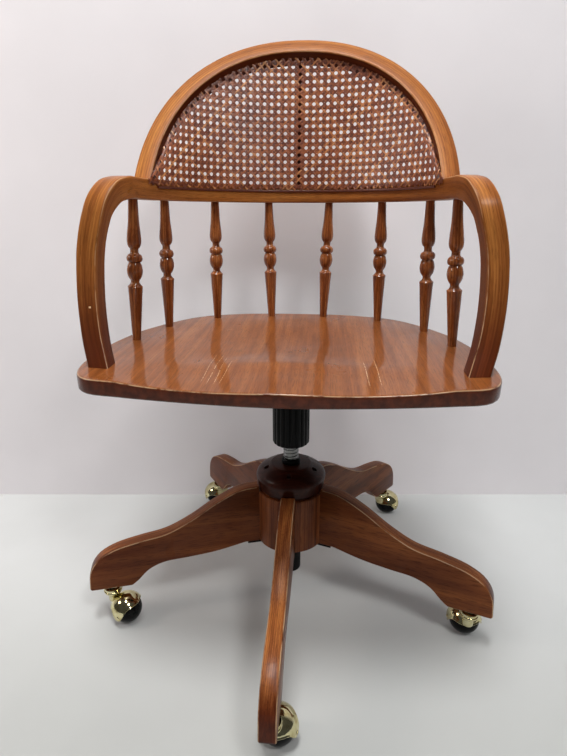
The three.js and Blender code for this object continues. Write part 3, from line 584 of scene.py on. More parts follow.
def seat_hollow(x, y, share):
    """How far the top lies below the rim, at a share of the way out to the edge."""
    frontness = smooth_step(-y, 110, 170)
    between = max(0, 1 - (x / 200) ** 4)
    crown = math.exp(-((x / 60) ** 2))
    dish = (1 - smooth_step(share, 0.12, 0.8)) * DISH_DEPTH
    ridge = crown * RIDGE_RISE * (1 - frontness) * (min(1, -y / 110) if y < 0 else 0)
    front = frontness * between * FRONT_DEPTH * (1 - crown / 2)
    return front + dish - ridge * min(1, dish / RIDGE_RISE)


def make_seat():
    outline = seat_outline()
    rings = []

    def ring(inset, share, height):
        scale = share * (1 - inset / SEAT_HALF[0])
        places = [SEAT_MIDDLE.lerp(point, scale) for point in outline]
        rings.append([Vector((p.x, p.y, height(p, scale))) for p in places])

    steps, top_rings = 6, 30
    turns = [radians(90 * k / steps) for k in range(steps + 1)]
    rounding = [(1 - sin(turn), 1 - cos(turn)) for turn in turns]
    for inset, rise in rounding:
        ring(inset * SEAT_ROUNDING, 1, lambda p, s: SEAT_UNDER + rise * SEAT_ROUNDING)
    for inset, rise in reversed(rounding):
        ring(inset * SEAT_ROUNDING, 1,
             lambda p, s: SEAT_TOP - rise * SEAT_ROUNDING - seat_hollow(p.x, p.y, 1))
    for k in range(top_rings):
        ring(SEAT_ROUNDING, 0.99 - 0.97 * k / (top_rings - 1),
             lambda p, s: SEAT_TOP - seat_hollow(p.x, p.y, s))
    seat = drawn_out("seat_board", rings)
    give_grain(seat, lambda p: Vector((p.y, p.x, p.z)))
    count = len(outline)
    worn = [0.0] * len(seat.data.vertices)
    for k in range(steps + 1):
        first = (steps + 1 + k) * count
        worn[first:first + count] = [sin(math.pi * k / steps) ** 2] * count
    give_wear(seat, worn)
    give_stain_and_shade(seat, lambda p, number: number < (steps * 3 // 2 + 2) * count)
    finished(seat, "seat_body", "oak", seat_oak, "seat", sharp=50)


# Arm bow: one bent length that is post, arm, back rail, arm and post

RAIL_RADIUS = 225
RAIL_MIDDLE_Y = -36
RAIL_WIDTH = 27
RAIL_HEIGHT = 29
RAIL_Z = 680.5
RAIL_FALL = 8
POST_DEPTH = 25
BOW_CORNER = 2.8
ARM_SPREAD = 30.5
ARM_REACH = 107
ARM_RISE = 217.5
ARM_SHARES = [
    (0.4, 1, 0), (0.723, 0.86, 0.133), (0.944, 0.729, 0.322), (0.98, 0.645, 0.506),
    (0.87, 0.607, 0.667), (0.63, 0.589, 0.8), (0.4, 0.533, 0.9), (0.16, 0.374, 0.973),
    (0.03, 0.131, 0.996), (0, 0, 1),
]


def rail_z(y):
    return RAIL_Z - RAIL_FALL * (y - RAIL_MIDDLE_Y) / RAIL_RADIUS


def rail_top(y):
    return rail_z(y) + RAIL_HEIGHT / 2


def rail_under(y):
    return rail_z(y) - RAIL_HEIGHT / 2


def arm_frames(side, count):
    """Frames up one post and along its arm, foot first."""
    points = [Vector((side * (RAIL_RADIUS + out * ARM_SPREAD), RAIL_MIDDLE_Y - reach * ARM_REACH,
                      SEAT_TOP + rise * ARM_RISE)) for out, reach, rise in ARM_SHARES]
    line = evenly(flowing(points, 16), count + 1)
    frames = []
    for k in range(count):
        along = (line[k + 1] - line[max(0, k - 1)]).normalized()
        turn = radians(8) * (1 - k / count)
        across = Vector((cos(turn), side * sin(turn), 0))
        across = (across - along * across.dot(along)).normalized()
        frames.append((line[k], across * side, across.cross(along).normalized()))
    return frames


def make_arm_bow():
    arm_steps, round_steps = 60, 96
    right, left = arm_frames(1, arm_steps), arm_frames(-1, arm_steps)
    middle = []
    for k in range(round_steps + 1):
        out = outward(math.pi * k / round_steps)
        place = Vector((0, RAIL_MIDDLE_Y, 0)) + out * RAIL_RADIUS
        place.z = rail_z(place.y)
        middle.append((place, out, UP))
    heights = [POST_DEPTH + (RAIL_HEIGHT - POST_DEPTH) * k / arm_steps for k in range(arm_steps)]
    heights = heights + [RAIL_HEIGHT] * len(middle) + heights[::-1]
    sections = [rounded_section(RAIL_WIDTH, height, BOW_CORNER) for height in heights]
    bow = bent("bent_arm_bow", right + middle + left[::-1], sections)
    corners = len(sections[0])
    for first, arm in ((0, right), ((len(sections) - 1) * corners, left)):
        set_level(bow.data.vertices[first:first + corners], arm[1][0] - arm[0][0],
                  lambda p: SEAT_TOP + 0.2)
    # Painted shade: the posts darken towards their feet, lower down where less light reaches them.
    give_stain_and_shade(bow, lambda p, number: 1 - smooth_step(p.z, SEAT_TOP + 15, SEAT_TOP + 175))
    finished(bow, "seat_body", "oak", oak, "arm_bow", sharp=50)


# Crest hoop

CREST_HALF = 232
CREST_RISE = 277
CREST_WIDTH = 26
CREST_DEPTH = 27
CREST_CORNER = 2.4
CREST_POWER = 2.2
CREST_LEAN = radians(40)
CREST_FOOT = Vector((0, 24, 694))
CREST_UP = Vector((0, sin(CREST_LEAN), cos(CREST_LEAN)))
CREST_BACK = Vector((0, cos(CREST_LEAN), -sin(CREST_LEAN)))


def hoop_point(angle, inset, depth):
    c, s = cos(angle), max(0, sin(angle))
    power = 2 / CREST_POWER
    across = math.copysign(abs(c) ** power, c) * (CREST_HALF - inset)
    return (CREST_FOOT + Vector((across, 0, 0)) + CREST_UP * (s ** power * (CREST_RISE - inset))
            + CREST_BACK * depth)


def make_crest():
    steps = 120
    step = math.pi / steps / 2
    frames = []
    for k in range(steps + 1):
        angle = math.pi * k / steps
        ahead, behind = min(math.pi, angle + step), max(0, angle - step)
        along = hoop_point(ahead, CREST_WIDTH / 2, 0) - hoop_point(behind, CREST_WIDTH / 2, 0)
        across = along.cross(CREST_BACK).normalized()
        frames.append((hoop_point(angle, CREST_WIDTH / 2, CREST_DEPTH / 2), across, CREST_BACK))
    section = rounded_section(CREST_WIDTH, CREST_DEPTH, CREST_CORNER)
    hoop = bent("crest_hoop", frames, [section] * len(frames))
    for first in (0, steps * len(section)):
        set_level(hoop.data.vertices[first:first + len(section)], CREST_UP,
                  lambda p: rail_top(p.y) + GLUE_GAP)
    # Painted shade: the inner face of the hoop, which faces down away from the light, is darkened.
    give_stain_and_shade(hoop, lambda p, number: (number + 1) % len(section) <= CORNER_STEPS + 1)
    finished(hoop, "seat_body", "oak", oak, "crest_bow", sharp=50)


# Cane panel: woven flat, bent to the round of the rail and held in the hoop

CANE_RADIUS = 209.7
CANE_HANG = 8
CANE_ACROSS = 11.6
CANE_UPWARD = 11
CANE_FIRST = 0.43
CANE_PLAY = 0.3
PAIR_HALF = 0.13
STRAND_REACH = 0.12


def cane_foot(x):
    y = RAIL_MIDDLE_Y + math.sqrt(max(0, CANE_RADIUS ** 2 - x ** 2))
    return Vector((x, y, rail_top(y) - CANE_HANG))


def cane_head(x):
    reach = CREST_HALF - CREST_WIDTH - CANE_PLAY
    share = (1 - min(1, abs(x) / reach) ** CREST_POWER) ** (1 / CREST_POWER)
    rise = share * (CREST_RISE - CREST_WIDTH - CANE_PLAY)
    point = CREST_FOOT + CREST_UP * rise + CREST_BACK * (CREST_DEPTH * 0.45)
    return Vector((x, point.y, point.z))


def cane_point(x, height):
    foot = cane_foot(x)
    if height <= CANE_HANG:
        return foot + UP * height
    head = cane_head(x)
    foot.z += CANE_HANG
    return foot.lerp(head, min(1.05, (height - CANE_HANG) / (head.z - foot.z)))


def cane_normal(x, height):
    across = cane_point(x + 2, height) - cane_point(x - 2, height)
    below = height - 2 if height > CANE_HANG + 2 else height
    up = cane_point(x, height + 2) - cane_point(x, below)
    return across.cross(up).normalized()


def laid(u, v):
    """How far sideways and how high a place of the flat weave, given in pitches, lies once it
    is bent, short of a quarter turn each way."""
    height = (v + CANE_FIRST) * CANE_UPWARD
    bend = CANE_RADIUS + 0.2 * max(0, height)
    around = max(-1.5, min(1.5, (u - 0.5) * CANE_ACROSS / bend))
    return bend * sin(around), height


def within_panel(u, v):
    """Whether a place of the flat weave, in pitches, lies inside the hoop and above the edge."""
    x, height = laid(u, v)
    if abs(x) > CREST_HALF - CREST_WIDTH - 1.5 or height < 0:
        return False
    return height < cane_head(x).z - cane_foot(x).z


def strand_ends(place, low, high):
    """The stretch of a straight strand that lies within the panel."""
    step = 0.1
    inside = [k for k in range(int((high - low) / step)) if within_panel(*place(low + k * step))]
    if len(inside) < 4:
        return None
    ends = []
    for t, way in ((low + inside[0] * step, -1), (low + inside[-1] * step, 1)):
        reach = step
        for _ in range(6):
            reach /= 2
            if within_panel(*place(t + way * reach)):
                t += way * reach
        ends.append(t)
    return ends


def weave_strand(place, lift, low, high, width, tints, weave, ragged=0):
    """One strand along (u, v) = place(t), crowned, and lifted over and under the others."""
    ends = strand_ends(place, low, high)
    if not ends:
        return None
    first, last = ends
    if laid(*place(first))[1] < 1:
        first += chance.uniform(-STRAND_REACH, 0.04) * ragged
    else:
        first -= STRAND_REACH
    last += STRAND_REACH
    quarters = range(math.ceil(first * 4 + 0.2), math.floor(last * 4 - 0.2) + 1)
    middle = []
    for t in [first] + [k / 4 for k in quarters] + [last]:
        x, height = laid(*place(t))
        out = cane_normal(x, max(0, height))
        middle.append((cane_point(x, height) + out * (lift(t) * weave), out))
    strand = added("strand", bpy.ops.mesh.primitive_grid_add, size=1,
                   x_subdivisions=2, y_subdivisions=len(middle) - 1)
    corners = []
    for k, (point, out) in enumerate(middle):
        along = middle[min(k + 1, len(middle) - 1)][0] - middle[max(0, k - 1)][0]
        side = along.cross(out).normalized() * (width / 2)
        corners += [point - side, point + out * 0.3, point + side]
    move_points(strand, corners)
    give_tint(strand, chance.uniform(*tints))
    return strand


def weave_set(name, strands):
    """Joins the strands of one direction and gives them their thickness."""
    cloth = joined([strand for strand in strands if strand], name)
    modified(cloth, "SOLIDIFY", thickness=0.5, offset=-1)
    return cloth


def make_cane():
    paired = {"width": 2.8, "tints": (0, 0.75), "weave": 0.4}
    slanting = {"width": 2.7, "tints": (0.25, 0.95), "weave": 0.8, "ragged": 0.7}
    wide, low, tall = 23, -0.6, 19
    uprights, rows, rising, falling = [], [], [], []
    for side in (-1, 1):
        for k in range(-wide, wide + 1):
            uprights.append(weave_strand(
                lambda t: (k + side * PAIR_HALF, t), lambda t: side * sin(math.tau * t),
                low, tall + 1, ragged=1, **paired))
        for k in range(tall + 1):
            rows.append(weave_strand(
                lambda t: (t, k + side * PAIR_HALF), lambda t: -side * sin(math.tau * t),
                -wide - 1, wide + 1, **paired))
    for k in range(-wide - tall, wide + 2):
        rising.append(weave_strand(
            lambda t: (t + k + 0.5, t), lambda t: 0.4 + cos(math.tau * t),
            low, tall + 1, **slanting))
    for k in range(-wide, wide + tall + 2):
        falling.append(weave_strand(
            lambda t: (k + 0.5 - t, t), lambda t: 0.4 - cos(math.tau * t),
            low, tall + 1, **slanting))
    for name, strands, *nodes in (("cane_uprights", uprights, "cane_panel"), ("cane_rows", rows),
                                  ("cane_rising", rising), ("cane_falling", falling)):
        finished(weave_set(name, strands), "seat_body", "cane", cane, *nodes, sharp=60)


def make_reed():
    """The reed under the panel's lower edge, against the rail."""
    radius = CANE_RADIUS + 0.4
    reach = math.acos(199 / radius)
    frames = []
    for k in range(101):
        out = outward(reach + (math.pi - 2 * reach) * k / 100)
        place = Vector((0, RAIL_MIDDLE_Y, 0)) + out * radius
        place.z = rail_top(place.y) - CANE_HANG - 2.6
        frames.append((place, out, UP))
    section = rounded_section(2, 3.6, 0.9)
    reed = bent("cane_reed", frames, [section] * len(frames))
    give_tint(reed, 0.12)
    finished(reed, "seat_body", "cane", cane, "cane_spline", sharp=60)


def make_back_slat():
    """The upright slat behind the middle of the panel."""
    depth, width, rounding = 8, 12, 1.5
    foot_y = cane_foot(0).y + 3.5 + RAIL_WIDTH / 4
    foot_z = rail_top(foot_y) + GLUE_GAP
    top = CREST_FOOT + CREST_UP * (CREST_RISE - CREST_WIDTH - 0.8)
    head_y = cane_head(0).y + 3.5
    under_hoop = lambda y: top.z - (y - top.y) * math.tan(CREST_LEAN) - GLUE_GAP
    outline = [(foot_y, foot_z), (foot_y + depth, foot_z),
               (head_y + depth, under_hoop(head_y + depth)), (head_y, under_hoop(head_y))]
    slat = sawn("crest_slat", outline, width, rounding)
    give_grain(slat, lambda p: Vector((p.z, p.x, p.y)))
    slat.data.transform(Matrix.Rotation(radians(90), 4, "Z"))
    finished(slat, "seat_body", "oak", cap_oak, "back_slat")


# Spindles, turned on a lathe: (share of the height, share of the widest radius)

SPINDLE_RADIUS = 11.4
SPINDLE_RUNS = [
    [(0, 0.54), (0.2, 0.73), (0.385, 0.92)],
    [(0.398, 0.95), (0.404, 0.86), (0.41, 0.74)],
    [(0.416, 0.64), (0.432, 0.54), (0.446, 0.58)],
    [(0.45, 0.66), (0.478, 0.9), (0.512, 1), (0.548, 0.9), (0.572, 0.7)],
    [(0.576, 0.86), (0.588, 0.97), (0.6, 1), (0.613, 0.95), (0.626, 0.8)],
    [(0.63, 0.64), (0.645, 0.52), (0.66, 0.53), (0.674, 0.66)],
    [(0.678, 0.72), (0.7, 0.86), (0.722, 0.9), (0.77, 0.84), (0.86, 0.68), (1, 0.58)],
]
SPINDLE_HEADS = [6.4, 26.6, 52.1, 76.6]
SPINDLE_FEET = [(4.9, 1.049), (27.2, 1.049), (51.6, 1.015), (77, 0.926)]


def round_rail(side, degrees, radius, height):
    angle = radians(degrees)
    return Vector((side * cos(angle) * radius, RAIL_MIDDLE_Y + sin(angle) * radius, height))


def make_spindles():
    turning = []
    for run in SPINDLE_RUNS:
        turning += flowing([Vector((height, radius, 0)) for height, radius in run], 4)
    number = 0
    for side in (-1, 1):
        for head_angle, (foot_angle, foot_share) in zip(SPINDLE_HEADS, SPINDLE_FEET):
            number += 1
            foot = round_rail(side, foot_angle, RAIL_RADIUS * foot_share, SEAT_TOP + GLUE_GAP)
            head = round_rail(side, head_angle, RAIL_RADIUS, 0)
            head.z = rail_under(head.y) - GLUE_GAP
            axis = head - foot
            profile = [(p.y * SPINDLE_RADIUS, p.x * axis.length) for p in turning]
            profile = [(0, 0)] + profile + [(0, axis.length)]
            spindle = turned(f"turned_spindle_{number}", profile, steps=40)
            give_grain(spindle, lambda p: Vector((p.z, p.x, p.y)))
            lengthwise = [vertex.co.z / axis.length for vertex in spindle.data.vertices]
            lean = UP.rotation_difference(axis).to_matrix().to_4x4()
            spindle.data.transform(Matrix.Translation(foot) @ lean)
            along = axis.normalized()
            corners = list(zip(spindle.data.vertices, lengthwise))
            set_level([vertex for vertex, share in corners if share < 0.001], along,
                      lambda p: foot.z)
            set_level([vertex for vertex, share in corners if share > 0.999], along,
                      lambda p: rail_under(p.y) - GLUE_GAP)
            finished(spindle, "seat_body", "oak", turned_oak, f"spindle_{number}", sharp=40)


# Column

COLLAR_TOP = 383.7
COLLAR_FOOT = 292.2


def make_collar():
    """The fluted collar that is turned by hand."""
    flutes, between = 20, 8

    def fluted(height, radius, depth):
        ring = []
        for k in range(flutes * between):
            angle = math.tau * k / (flutes * between)
            wave = abs(sin(flutes * angle / 2)) ** 0.6
            ring.append(outward(angle) * (radius - depth * (1 - wave)) + UP * height)
        return ring

    rings = [fluted(COLLAR_FOOT + 1, 13, 0), fluted(COLLAR_FOOT, 14, 0), fluted(COLLAR_FOOT, 25, 0)]
    for k in range(7):
        turn = radians(90 * k / 6)
        rings.append(fluted(COLLAR_FOOT + 4 * (1 - cos(turn)), 25.5 + 4.2 * sin(turn),
                            1.9 * sin(turn)))
    rings += [fluted(COLLAR_TOP - 1, 29.7, 1.9), fluted(COLLAR_TOP, 28.9, 1.4),
              fluted(COLLAR_TOP, 13, 0)]
    collar = drawn_out("fluted_collar", rings + [rings[0]], filled=False)
    finished(collar, "collar", "black_plastic", collar_black, "height_collar", sharp=30)


def make_screw():
    """The lift screw with its thread, one tooth carried round and up."""
    pitch, foot, turns, sides = 6, 53, 58, 24
    tooth = [(12.5, 0), (12.5, 1.9), (11.1, 2.6), (11.1, 4.7), (12.5, 5.4), (12.5, pitch)]
    screw = loop_of("threaded_screw", [Vector((r, 0, foot + z)) for r, z in tooth])
    with editing(screw):
        bpy.ops.mesh.select_all(action="DESELECT")
    for edge in screw.data.edges:
        edge.select = set(edge.vertices) == {0, len(tooth) - 1}
    with editing(screw, whole=False):
        bpy.ops.mesh.select_mode(type="EDGE")
        bpy.ops.mesh.delete(type="EDGE")
        bpy.ops.mesh.select_mode(type="VERT")
    modified(screw, "SCREW", axis="Z", angle=math.tau, screw_offset=pitch, iterations=turns,
             steps=sides, render_steps=sides)
    with editing(screw):
        bpy.ops.mesh.remove_doubles(threshold=0.01)
        bpy.ops.mesh.fill_holes(sides=0)
        turn_faces_out()
    finished(screw, "screw", "chrome_steel", thread_steel, "lift_screw", sharp=40)


def make_tube_and_bushing():
    tube = turned("column_sleeve", [
        (0, 48), (15, 48), (16.6, 48.7), (17.3, 50), (17.5, 52), (17.5, 213), (14.5, 213),
        (14.5, 52), (0, 52)])
    finished(tube, "base", "black_steel", painted_steel, "column_tube")
    bushing = turned("screw_collar", [
        (12.9, 210), (13.6, 210), (13.6, 255.7), (15, 255.7), (15, 262), (14.6, 263.2),
        (13.8, 264), (12.9, 264)])
    finished(bushing, "base", "black_plastic", collar_black, "screw_bushing")


# Base

HUB_RADIUS = 57
HUB_FOOT = 118
HUB_TOP = 213
CROWN_TOP = 255.6
CROWN_BORE = 14.2
CROWN_SCREWS = 41
LEG_ANGLES = [radians(-91 + 72 * k) for k in range(5)]
LEG_REACH = 336
LEG_FOOT = 64
LEG_RISE = 157.5
LEG_THICKNESS = 22.7
LEG_ROUNDING = 2.4
LEG_TOP = [
    (0.16, 1), (0.257, 0.978), (0.374, 0.862), (0.504, 0.689), (0.622, 0.571), (0.749, 0.521),
    (0.869, 0.457), (0.946, 0.362), (0.987, 0.229), (1, 0.02),
]
LEG_UNDER = [
    (0.802, 0), (0.771, 0.051), (0.717, 0.165), (0.643, 0.232), (0.521, 0.252), (0.387, 0.279),
    (0.238, 0.343),
]


def make_screw_head(name, radius, height):
    """A countersunk or pan screw head with a cross cut in it, top at height 0."""
    head = turned(name, [(0, -height), (radius * 0.6, -height), (radius, -height * 0.35),
                         (radius * 0.96, -0.15), (radius * 0.8, 0), (0, 0.15)], steps=32)
    for turn in (0, 90):
        cut_away(head, added("cross_cut", bpy.ops.mesh.primitive_cube_add, size=1,
                             rotation=(0, 0, radians(turn)),
                             scale=(radius * 1.1, radius * 0.24, height * 1.2)))
    return head


def make_hub():
    radius, bore = HUB_RADIUS, 18
    hub = turned("stave_hub", [
        (bore, HUB_FOOT), (radius - 2, HUB_FOOT), (radius - 0.6, HUB_FOOT + 0.6),
        (radius, HUB_FOOT + 2), (radius, HUB_TOP - 2), (radius - 0.6, HUB_TOP - 0.6),
        (radius - 2, HUB_TOP), (bore, HUB_TOP)], steps=96)
    give_grain(hub, lambda p: Vector((p.z, math.atan2(p.x, p.y) * radius, math.hypot(p.x, p.y))))
    finished(hub, "base", "oak", hub_oak, "hub")
    foot, rise = HUB_TOP + 0.3, 42.4
    upper = flowing([Vector((r * radius, foot + h * rise, 0)) for r, h in (
        (0.9, 0), (0.94, 0.06), (0.965, 0.2), (0.985, 0.34), (1, 0.45), (0.998, 0.53),
        (0.965, 0.64), (0.9, 0.73), (0.75, 0.85), (0.62, 0.94))], 4)
    profile = [(CROWN_BORE, foot)] + [(p.x, p.y) for p in upper]
    profile += [(0.575 * radius, CROWN_TOP - 0.4), (0.55 * radius, CROWN_TOP),
                (CROWN_BORE, CROWN_TOP)]
    cap = turned("hub_crown", profile, steps=96)
    head = make_screw_head("crown_screw", 3.6, 3)
    for number, angle in enumerate(LEG_ANGLES, 1):
        place = outward(angle) * CROWN_SCREWS
        cut_away(cap, added("crown_hole", bpy.ops.mesh.primitive_cone_add, vertices=32,
                            radius1=3.4, radius2=5.2, depth=12, location=place + UP * 249.5))
        screw = copied(head, f"crown_screw_{number}")
        screw.data.transform(
            Matrix.Translation(place + UP * 246) @ Matrix.Rotation(number, 4, "Z"))
        finished(screw, "base", "zinc_steel", zinc_steel)
    bpy.data.objects.remove(head)
    give_grain(cap)
    finished(cap, "base", "dark_oak", cap_oak, "hub_cap")


def make_legs():
    place = lambda share: Vector((share[0] * LEG_REACH, LEG_FOOT + share[1] * LEG_RISE, 0))
    over = evenly(flowing([place(share) for share in LEG_TOP], 12), 46)
    under = evenly(flowing([place(share) for share in LEG_UNDER], 12), 28)
    inner = HUB_RADIUS / 2
    outline = [(inner, LEG_FOOT + LEG_RISE)] + [(p.x, p.y) for p in over]
    outline += [(LEG_REACH - 2.5, LEG_FOOT)] + [(p.x, p.y) for p in under] + [(inner, HUB_FOOT)]
    leg = sawn("leg", outline, LEG_THICKNESS, LEG_ROUNDING)
    give_wear(leg, [9.2 < abs(vertex.co.y) < 11.2 for vertex in leg.data.vertices])
    cut_away(leg, added("hub_room", bpy.ops.mesh.primitive_cylinder_add, vertices=128,
                        radius=HUB_RADIUS + GLUE_GAP, depth=240, location=(0, 0, 160)))
    for number, angle in enumerate(LEG_ANGLES, 1):
        copy = copied(leg, f"curved_leg_{number}")
        give_grain(copy, lambda p: Vector((p.x, p.y * 1.6, p.z * 0.35)))
        # Painted shade: the wide side faces and the foot ends, which turn away from the overhead
        # light, are darkened.
        give_stain_and_shade(copy, lambda p, _: 0.45 if abs(p.y) > 10 else smooth_step(p.x, 305, 333))
        copy.data.transform(Matrix.Rotation(angle, 4, "Z"))
        finished(copy, "base", "oak", base_oak, f"leg_{number}")
    bpy.data.objects.remove(leg)


# Casters, made about the stem with the ball trailing along +X

CASTER_RADIUS = 302
CASTER_TURNS = [1.26, 1.5, 0.8, 2.2, -0.25]
TRAIL = 24
BALL = 23.6
HOOD_INSIDE = 25.6
HOOD_WALL = 1.2


def make_hood():
    """A hollow cap over the ball, its rolled rim arched ahead and behind and drawn down into an
    ear at each end of the axle."""
    sides, bands = 96, 14
    centre = Vector((TRAIL, 0, BALL))

    def ring(radius, share, lower=0.0):
        places = []
        for k in range(sides):
            turn = math.tau * k / sides
            around = turn + 0.15 * sin(2 * turn)
            rim = 63 - 10 * cos(around) + 40 * abs(sin(around)) ** 12
            down = radians(rim) * share + lower
            places.append(centre + (outward(around) * sin(down) + UP * cos(down)) * radius)
        return places

    outside = HOOD_INSIDE + HOOD_WALL
    shares = [(k + 0.15) / (bands + 0.15) for k in range(bands + 1)]
    rings = [ring(outside, share) for share in shares[:-1]]
    rings += [ring(outside, 1, -0.05), ring(outside + 0.4, 1, -0.02), ring(outside + 0.5, 1, 0.01),
              ring(outside, 1, 0.035), ring(HOOD_INSIDE + 0.3, 1, 0.03), ring(HOOD_INSIDE, 1)]
    rings += [ring(HOOD_INSIDE, share) for share in reversed(shares[:-1])]
    return drawn_out("hood", rings)


def arc(radius, degrees):
    """Corners of a turned round, as (radius, height), at angles above its middle."""
    return [(cos(radians(a)) * radius, sin(radians(a)) * radius)
            for a in degrees]


def make_casters():
    hood = make_hood()
    neck = turned("neck", [
        (0, 34), (6.5, 34), (8, 34.6), (8.5, 36), (8.7, 43), (9.5, 46.5), (11.6, 49.6),
        (13.8, 51.6), (14.6, 53), (14.9, 54.6), (14.5, 55.8), (13.8, 56.2), (13.9, 57.4),
        (13.9, 60), (14.2, 60.6), (13.8, 61.4), (9.6, 61.6), (9.4, 60), (4, 60), (4, 62),
        (0, 62)], steps=48)
    room = turned("ball_room", [(0, -HOOD_INSIDE), *arc(HOOD_INSIDE, range(-80, 81, 5)),
                                (0, HOOD_INSIDE)])
    at_ball = Matrix.Translation((TRAIL, 0, BALL))
    room.data.transform(at_ball)
    cut_away(neck, room)
    hood = joined([hood, neck], "hood")
    ball = turned("ball", [(2.8, -22.6), *arc(BALL, range(-82, 83, 4)), (2.8, 22.6)], steps=64)
    axle = turned("axle", [
        (0, -28), (1.2, -27.9), (2.2, -27.6), (2.8, -27.1), (2.9, -26.6), (2.2, -26.5),
        (2.2, 26.5), (2.9, 26.6), (2.8, 27.1), (2.2, 27.6), (1.2, 27.9), (0, 28)], steps=24)
    for piece in (ball, axle):
        piece.data.transform(at_ball @ Matrix.Rotation(radians(90), 4, "X"))
    parts = [
        (hood, "caster_shell", "caster", "brass", brass, "caster_hood"),
        (ball, "caster_globe", "ball", "ball_plastic", ball_black, "caster_ball"),
        (axle, "caster_rivet", "caster", "zinc_steel", brass, "caster_axle"),
    ]
    for number, (angle, turn) in enumerate(zip(LEG_ANGLES, CASTER_TURNS), 1):
        at_stem = Matrix.Translation(outward(angle) * CASTER_RADIUS)
        for piece, name, body, slot, material, node in parts:
            copy = copied(piece, f"{name}_{number}")
            copy.data.transform(at_stem @ Matrix.Rotation(turn, 4, "Z"))
            finished(copy, f"{body}_{number}", slot, material, f"{node}_{number}", sharp=45)
    for piece, *_ in parts:
        bpy.data.objects.remove(piece)


# Control under the seat: the pressed parts stay as they are, and get their finish and screws

def make_control():
    sockets = [f"caster_socket_{k}" for k in range(1, 6)]
    for material, *nodes in (
            (painted_steel, "seat_plate", "control_housing", "bottom_plate"),
            (collar_black, "front_stop"),
            (zinc_steel, "pivot_pin", "tilt_spring_left", "tilt_spring_right", "tension_bolt",
             *sockets)):
        for node in nodes:
            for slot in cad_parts[node].material_slots:
                slot.material = material
    head = make_screw_head("plate_screw", 4.6, 3)
    under_seat = [Vector((x, y, 438.7)) for x in (-70, 70) for y in (-76, -2, 72)]
    under_legs = [outward(angle) * 62 + UP * 114.7 for angle in LEG_ANGLES]
    for number, place in enumerate(under_seat + under_legs, 1):
        screw = copied(head, f"plate_screw_{number}")
        screw.data.transform(
            Matrix.Translation(place - UP * 1.2) @ Matrix.Rotation(math.pi, 4, "X"))
        body = "seat_body" if number <= len(under_seat) else "base"
        finished(screw, body, "zinc_steel", zinc_steel)
    bpy.data.objects.remove(head)


# Camera, light and backdrop

VIEW_PLACE = Vector((46.6, -765.4, 669.9))
VIEW_TURN = 0.0769
VIEW_DOWN = 0.3366
VIEW_LENS = 24.82
WALL_PLACE = Vector((-36, 309, 0))
# The floor's painted shade near the viewer, where the light falls off.
FLOOR_NEAR_SHADE = tone(192, 194, 191)
FLOOR_TONE = tone(217, 219, 218)
WALL_TONE = tone(223, 219, 221)


def make_view():
    bpy.ops.object.camera_add()
    camera = bpy.context.active_object
    camera.data.lens = VIEW_LENS
    camera.data.clip_start = 0.01
    right = outward(VIEW_TURN)
    ahead = UP.cross(right) * cos(VIEW_DOWN) - UP * sin(VIEW_DOWN)
    turned_to = Matrix((right, right.cross(ahead), -ahead)).transposed().to_4x4()
    camera.matrix_world = Matrix.Translation(TO_METRES @ VIEW_PLACE) @ turned_to
    bpy.context.scene.camera = camera


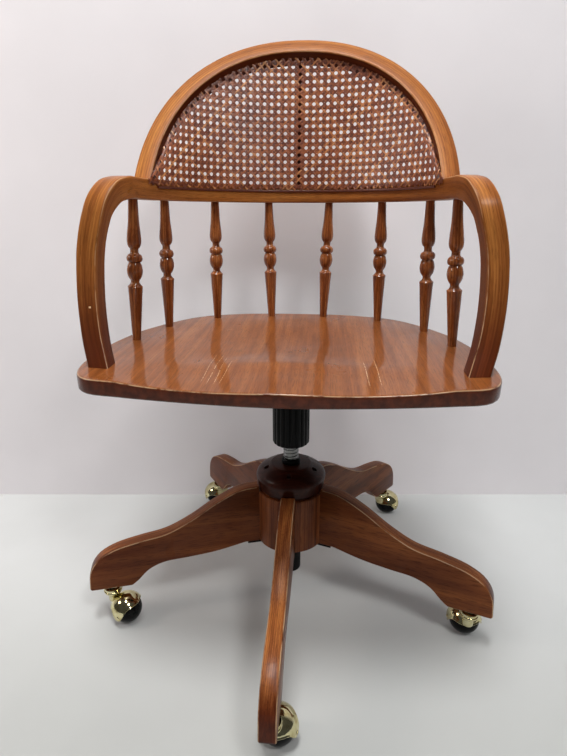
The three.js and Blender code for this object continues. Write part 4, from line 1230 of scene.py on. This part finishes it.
def backdrop_paint(name, colour, near, glow):
    """Pale paint that is a little brighter to the eye, with painted shade darkening it towards the
    viewer, and clear from behind."""
    f = Finish(name, Roughness=0.85, Specular_IOR_Level=0.2)
    mottle = f.mask(f.noise(f.place(), 3), 0.3, 0.7)
    forward = f.add("ShaderNodeSeparateXYZ", "Y", Vector=f.place())
    # Painted shade: the floor turns to the darker near colour towards the viewer, standing for
    # light that falls off there.
    shade = f.mix(f.mask(forward, 0.15, -0.35), colour, near)
    shade = f.mix(mottle, shade, tone(248, 248, 248), "MULTIPLY")
    f.feed(f.shader.inputs["Base Color"], shade)
    seen = f.add("ShaderNodeLightPath", "Is Camera Ray")
    for ray in ("Is Glossy Ray", "Is Transmission Ray"):
        seen = f.sum("MAXIMUM", seen, f.add("ShaderNodeLightPath", ray))
    f.feed(f.shader.inputs["Emission Color"], colour)
    f.feed(f.shader.inputs["Emission Strength"], f.sum("MULTIPLY", seen, glow))
    both = f.nodes.new("ShaderNodeMixShader")
    f.feed(both.inputs[0], f.add("ShaderNodeNewGeometry", "Backfacing"))
    f.feed(both.inputs[1], f.shader.outputs[0])
    f.feed(both.inputs[2], f.add("ShaderNodeBsdfTransparent", "BSDF"))
    f.feed(f.nodes["Material Output"].inputs["Surface"], both.outputs[0])
    return f.material


def make_stage():
    floor = added("floor", bpy.ops.mesh.primitive_plane_add, size=12, location=(0, 0, -0.0002))
    floor.data.materials.append(backdrop_paint("floor_paint", FLOOR_TONE, FLOOR_NEAR_SHADE, 0.05))
    wall = added("wall", bpy.ops.mesh.primitive_plane_add, size=12,
                 location=TO_METRES @ WALL_PLACE, rotation=(radians(90), 0, VIEW_TURN))
    wall.data.materials.append(backdrop_paint("wall_paint", WALL_TONE, WALL_TONE, 0.2))


def make_lights():
    """A wide soft lamp overhead, a weak one from the front right, and a warm one along the wall."""
    world = bpy.context.scene.world or bpy.data.worlds.new("world")
    bpy.context.scene.world = world
    world.use_nodes = True
    background = world.node_tree.nodes["Background"]
    background.inputs["Color"].default_value = (1, 1, 1, 1)
    background.inputs["Strength"].default_value = 0.06
    lamps = [("ceiling", (-0.1, -0.5, 2.9), (0, 0, 0.4), 0.8, 50, (1, 1, 1)),
             ("front", (0.8, -1.3, 2.3), (0, 0.1, 0.4), 0.5, 18, (1, 1, 1)),
             ("wall_glow", (-1.4, -0.4, 1.2), (-0.85, 0.33, 1.05), 0.5, 7, (1, 0.9, 0.84))]
    for name, place, aim, size, power, colour in lamps:
        bpy.ops.object.light_add(type="AREA", location=place)
        lamp = bpy.context.active_object
        lamp.name = name
        lamp.data.shape, lamp.data.size = "DISK", size
        lamp.data.energy, lamp.data.color = power, colour
        lamp.rotation_euler = (Vector(aim) - Vector(place)).to_track_quat("-Z", "Y").to_euler()


make_seat()
make_arm_bow()
make_crest()
make_cane()
make_reed()
make_back_slat()
make_spindles()
make_collar()
make_screw()
make_tube_and_bushing()
make_hub()
make_legs()
make_casters()
make_control()
make_view()
make_stage()
make_lights()

scene = bpy.context.scene
scene.view_settings.view_transform = "Standard"
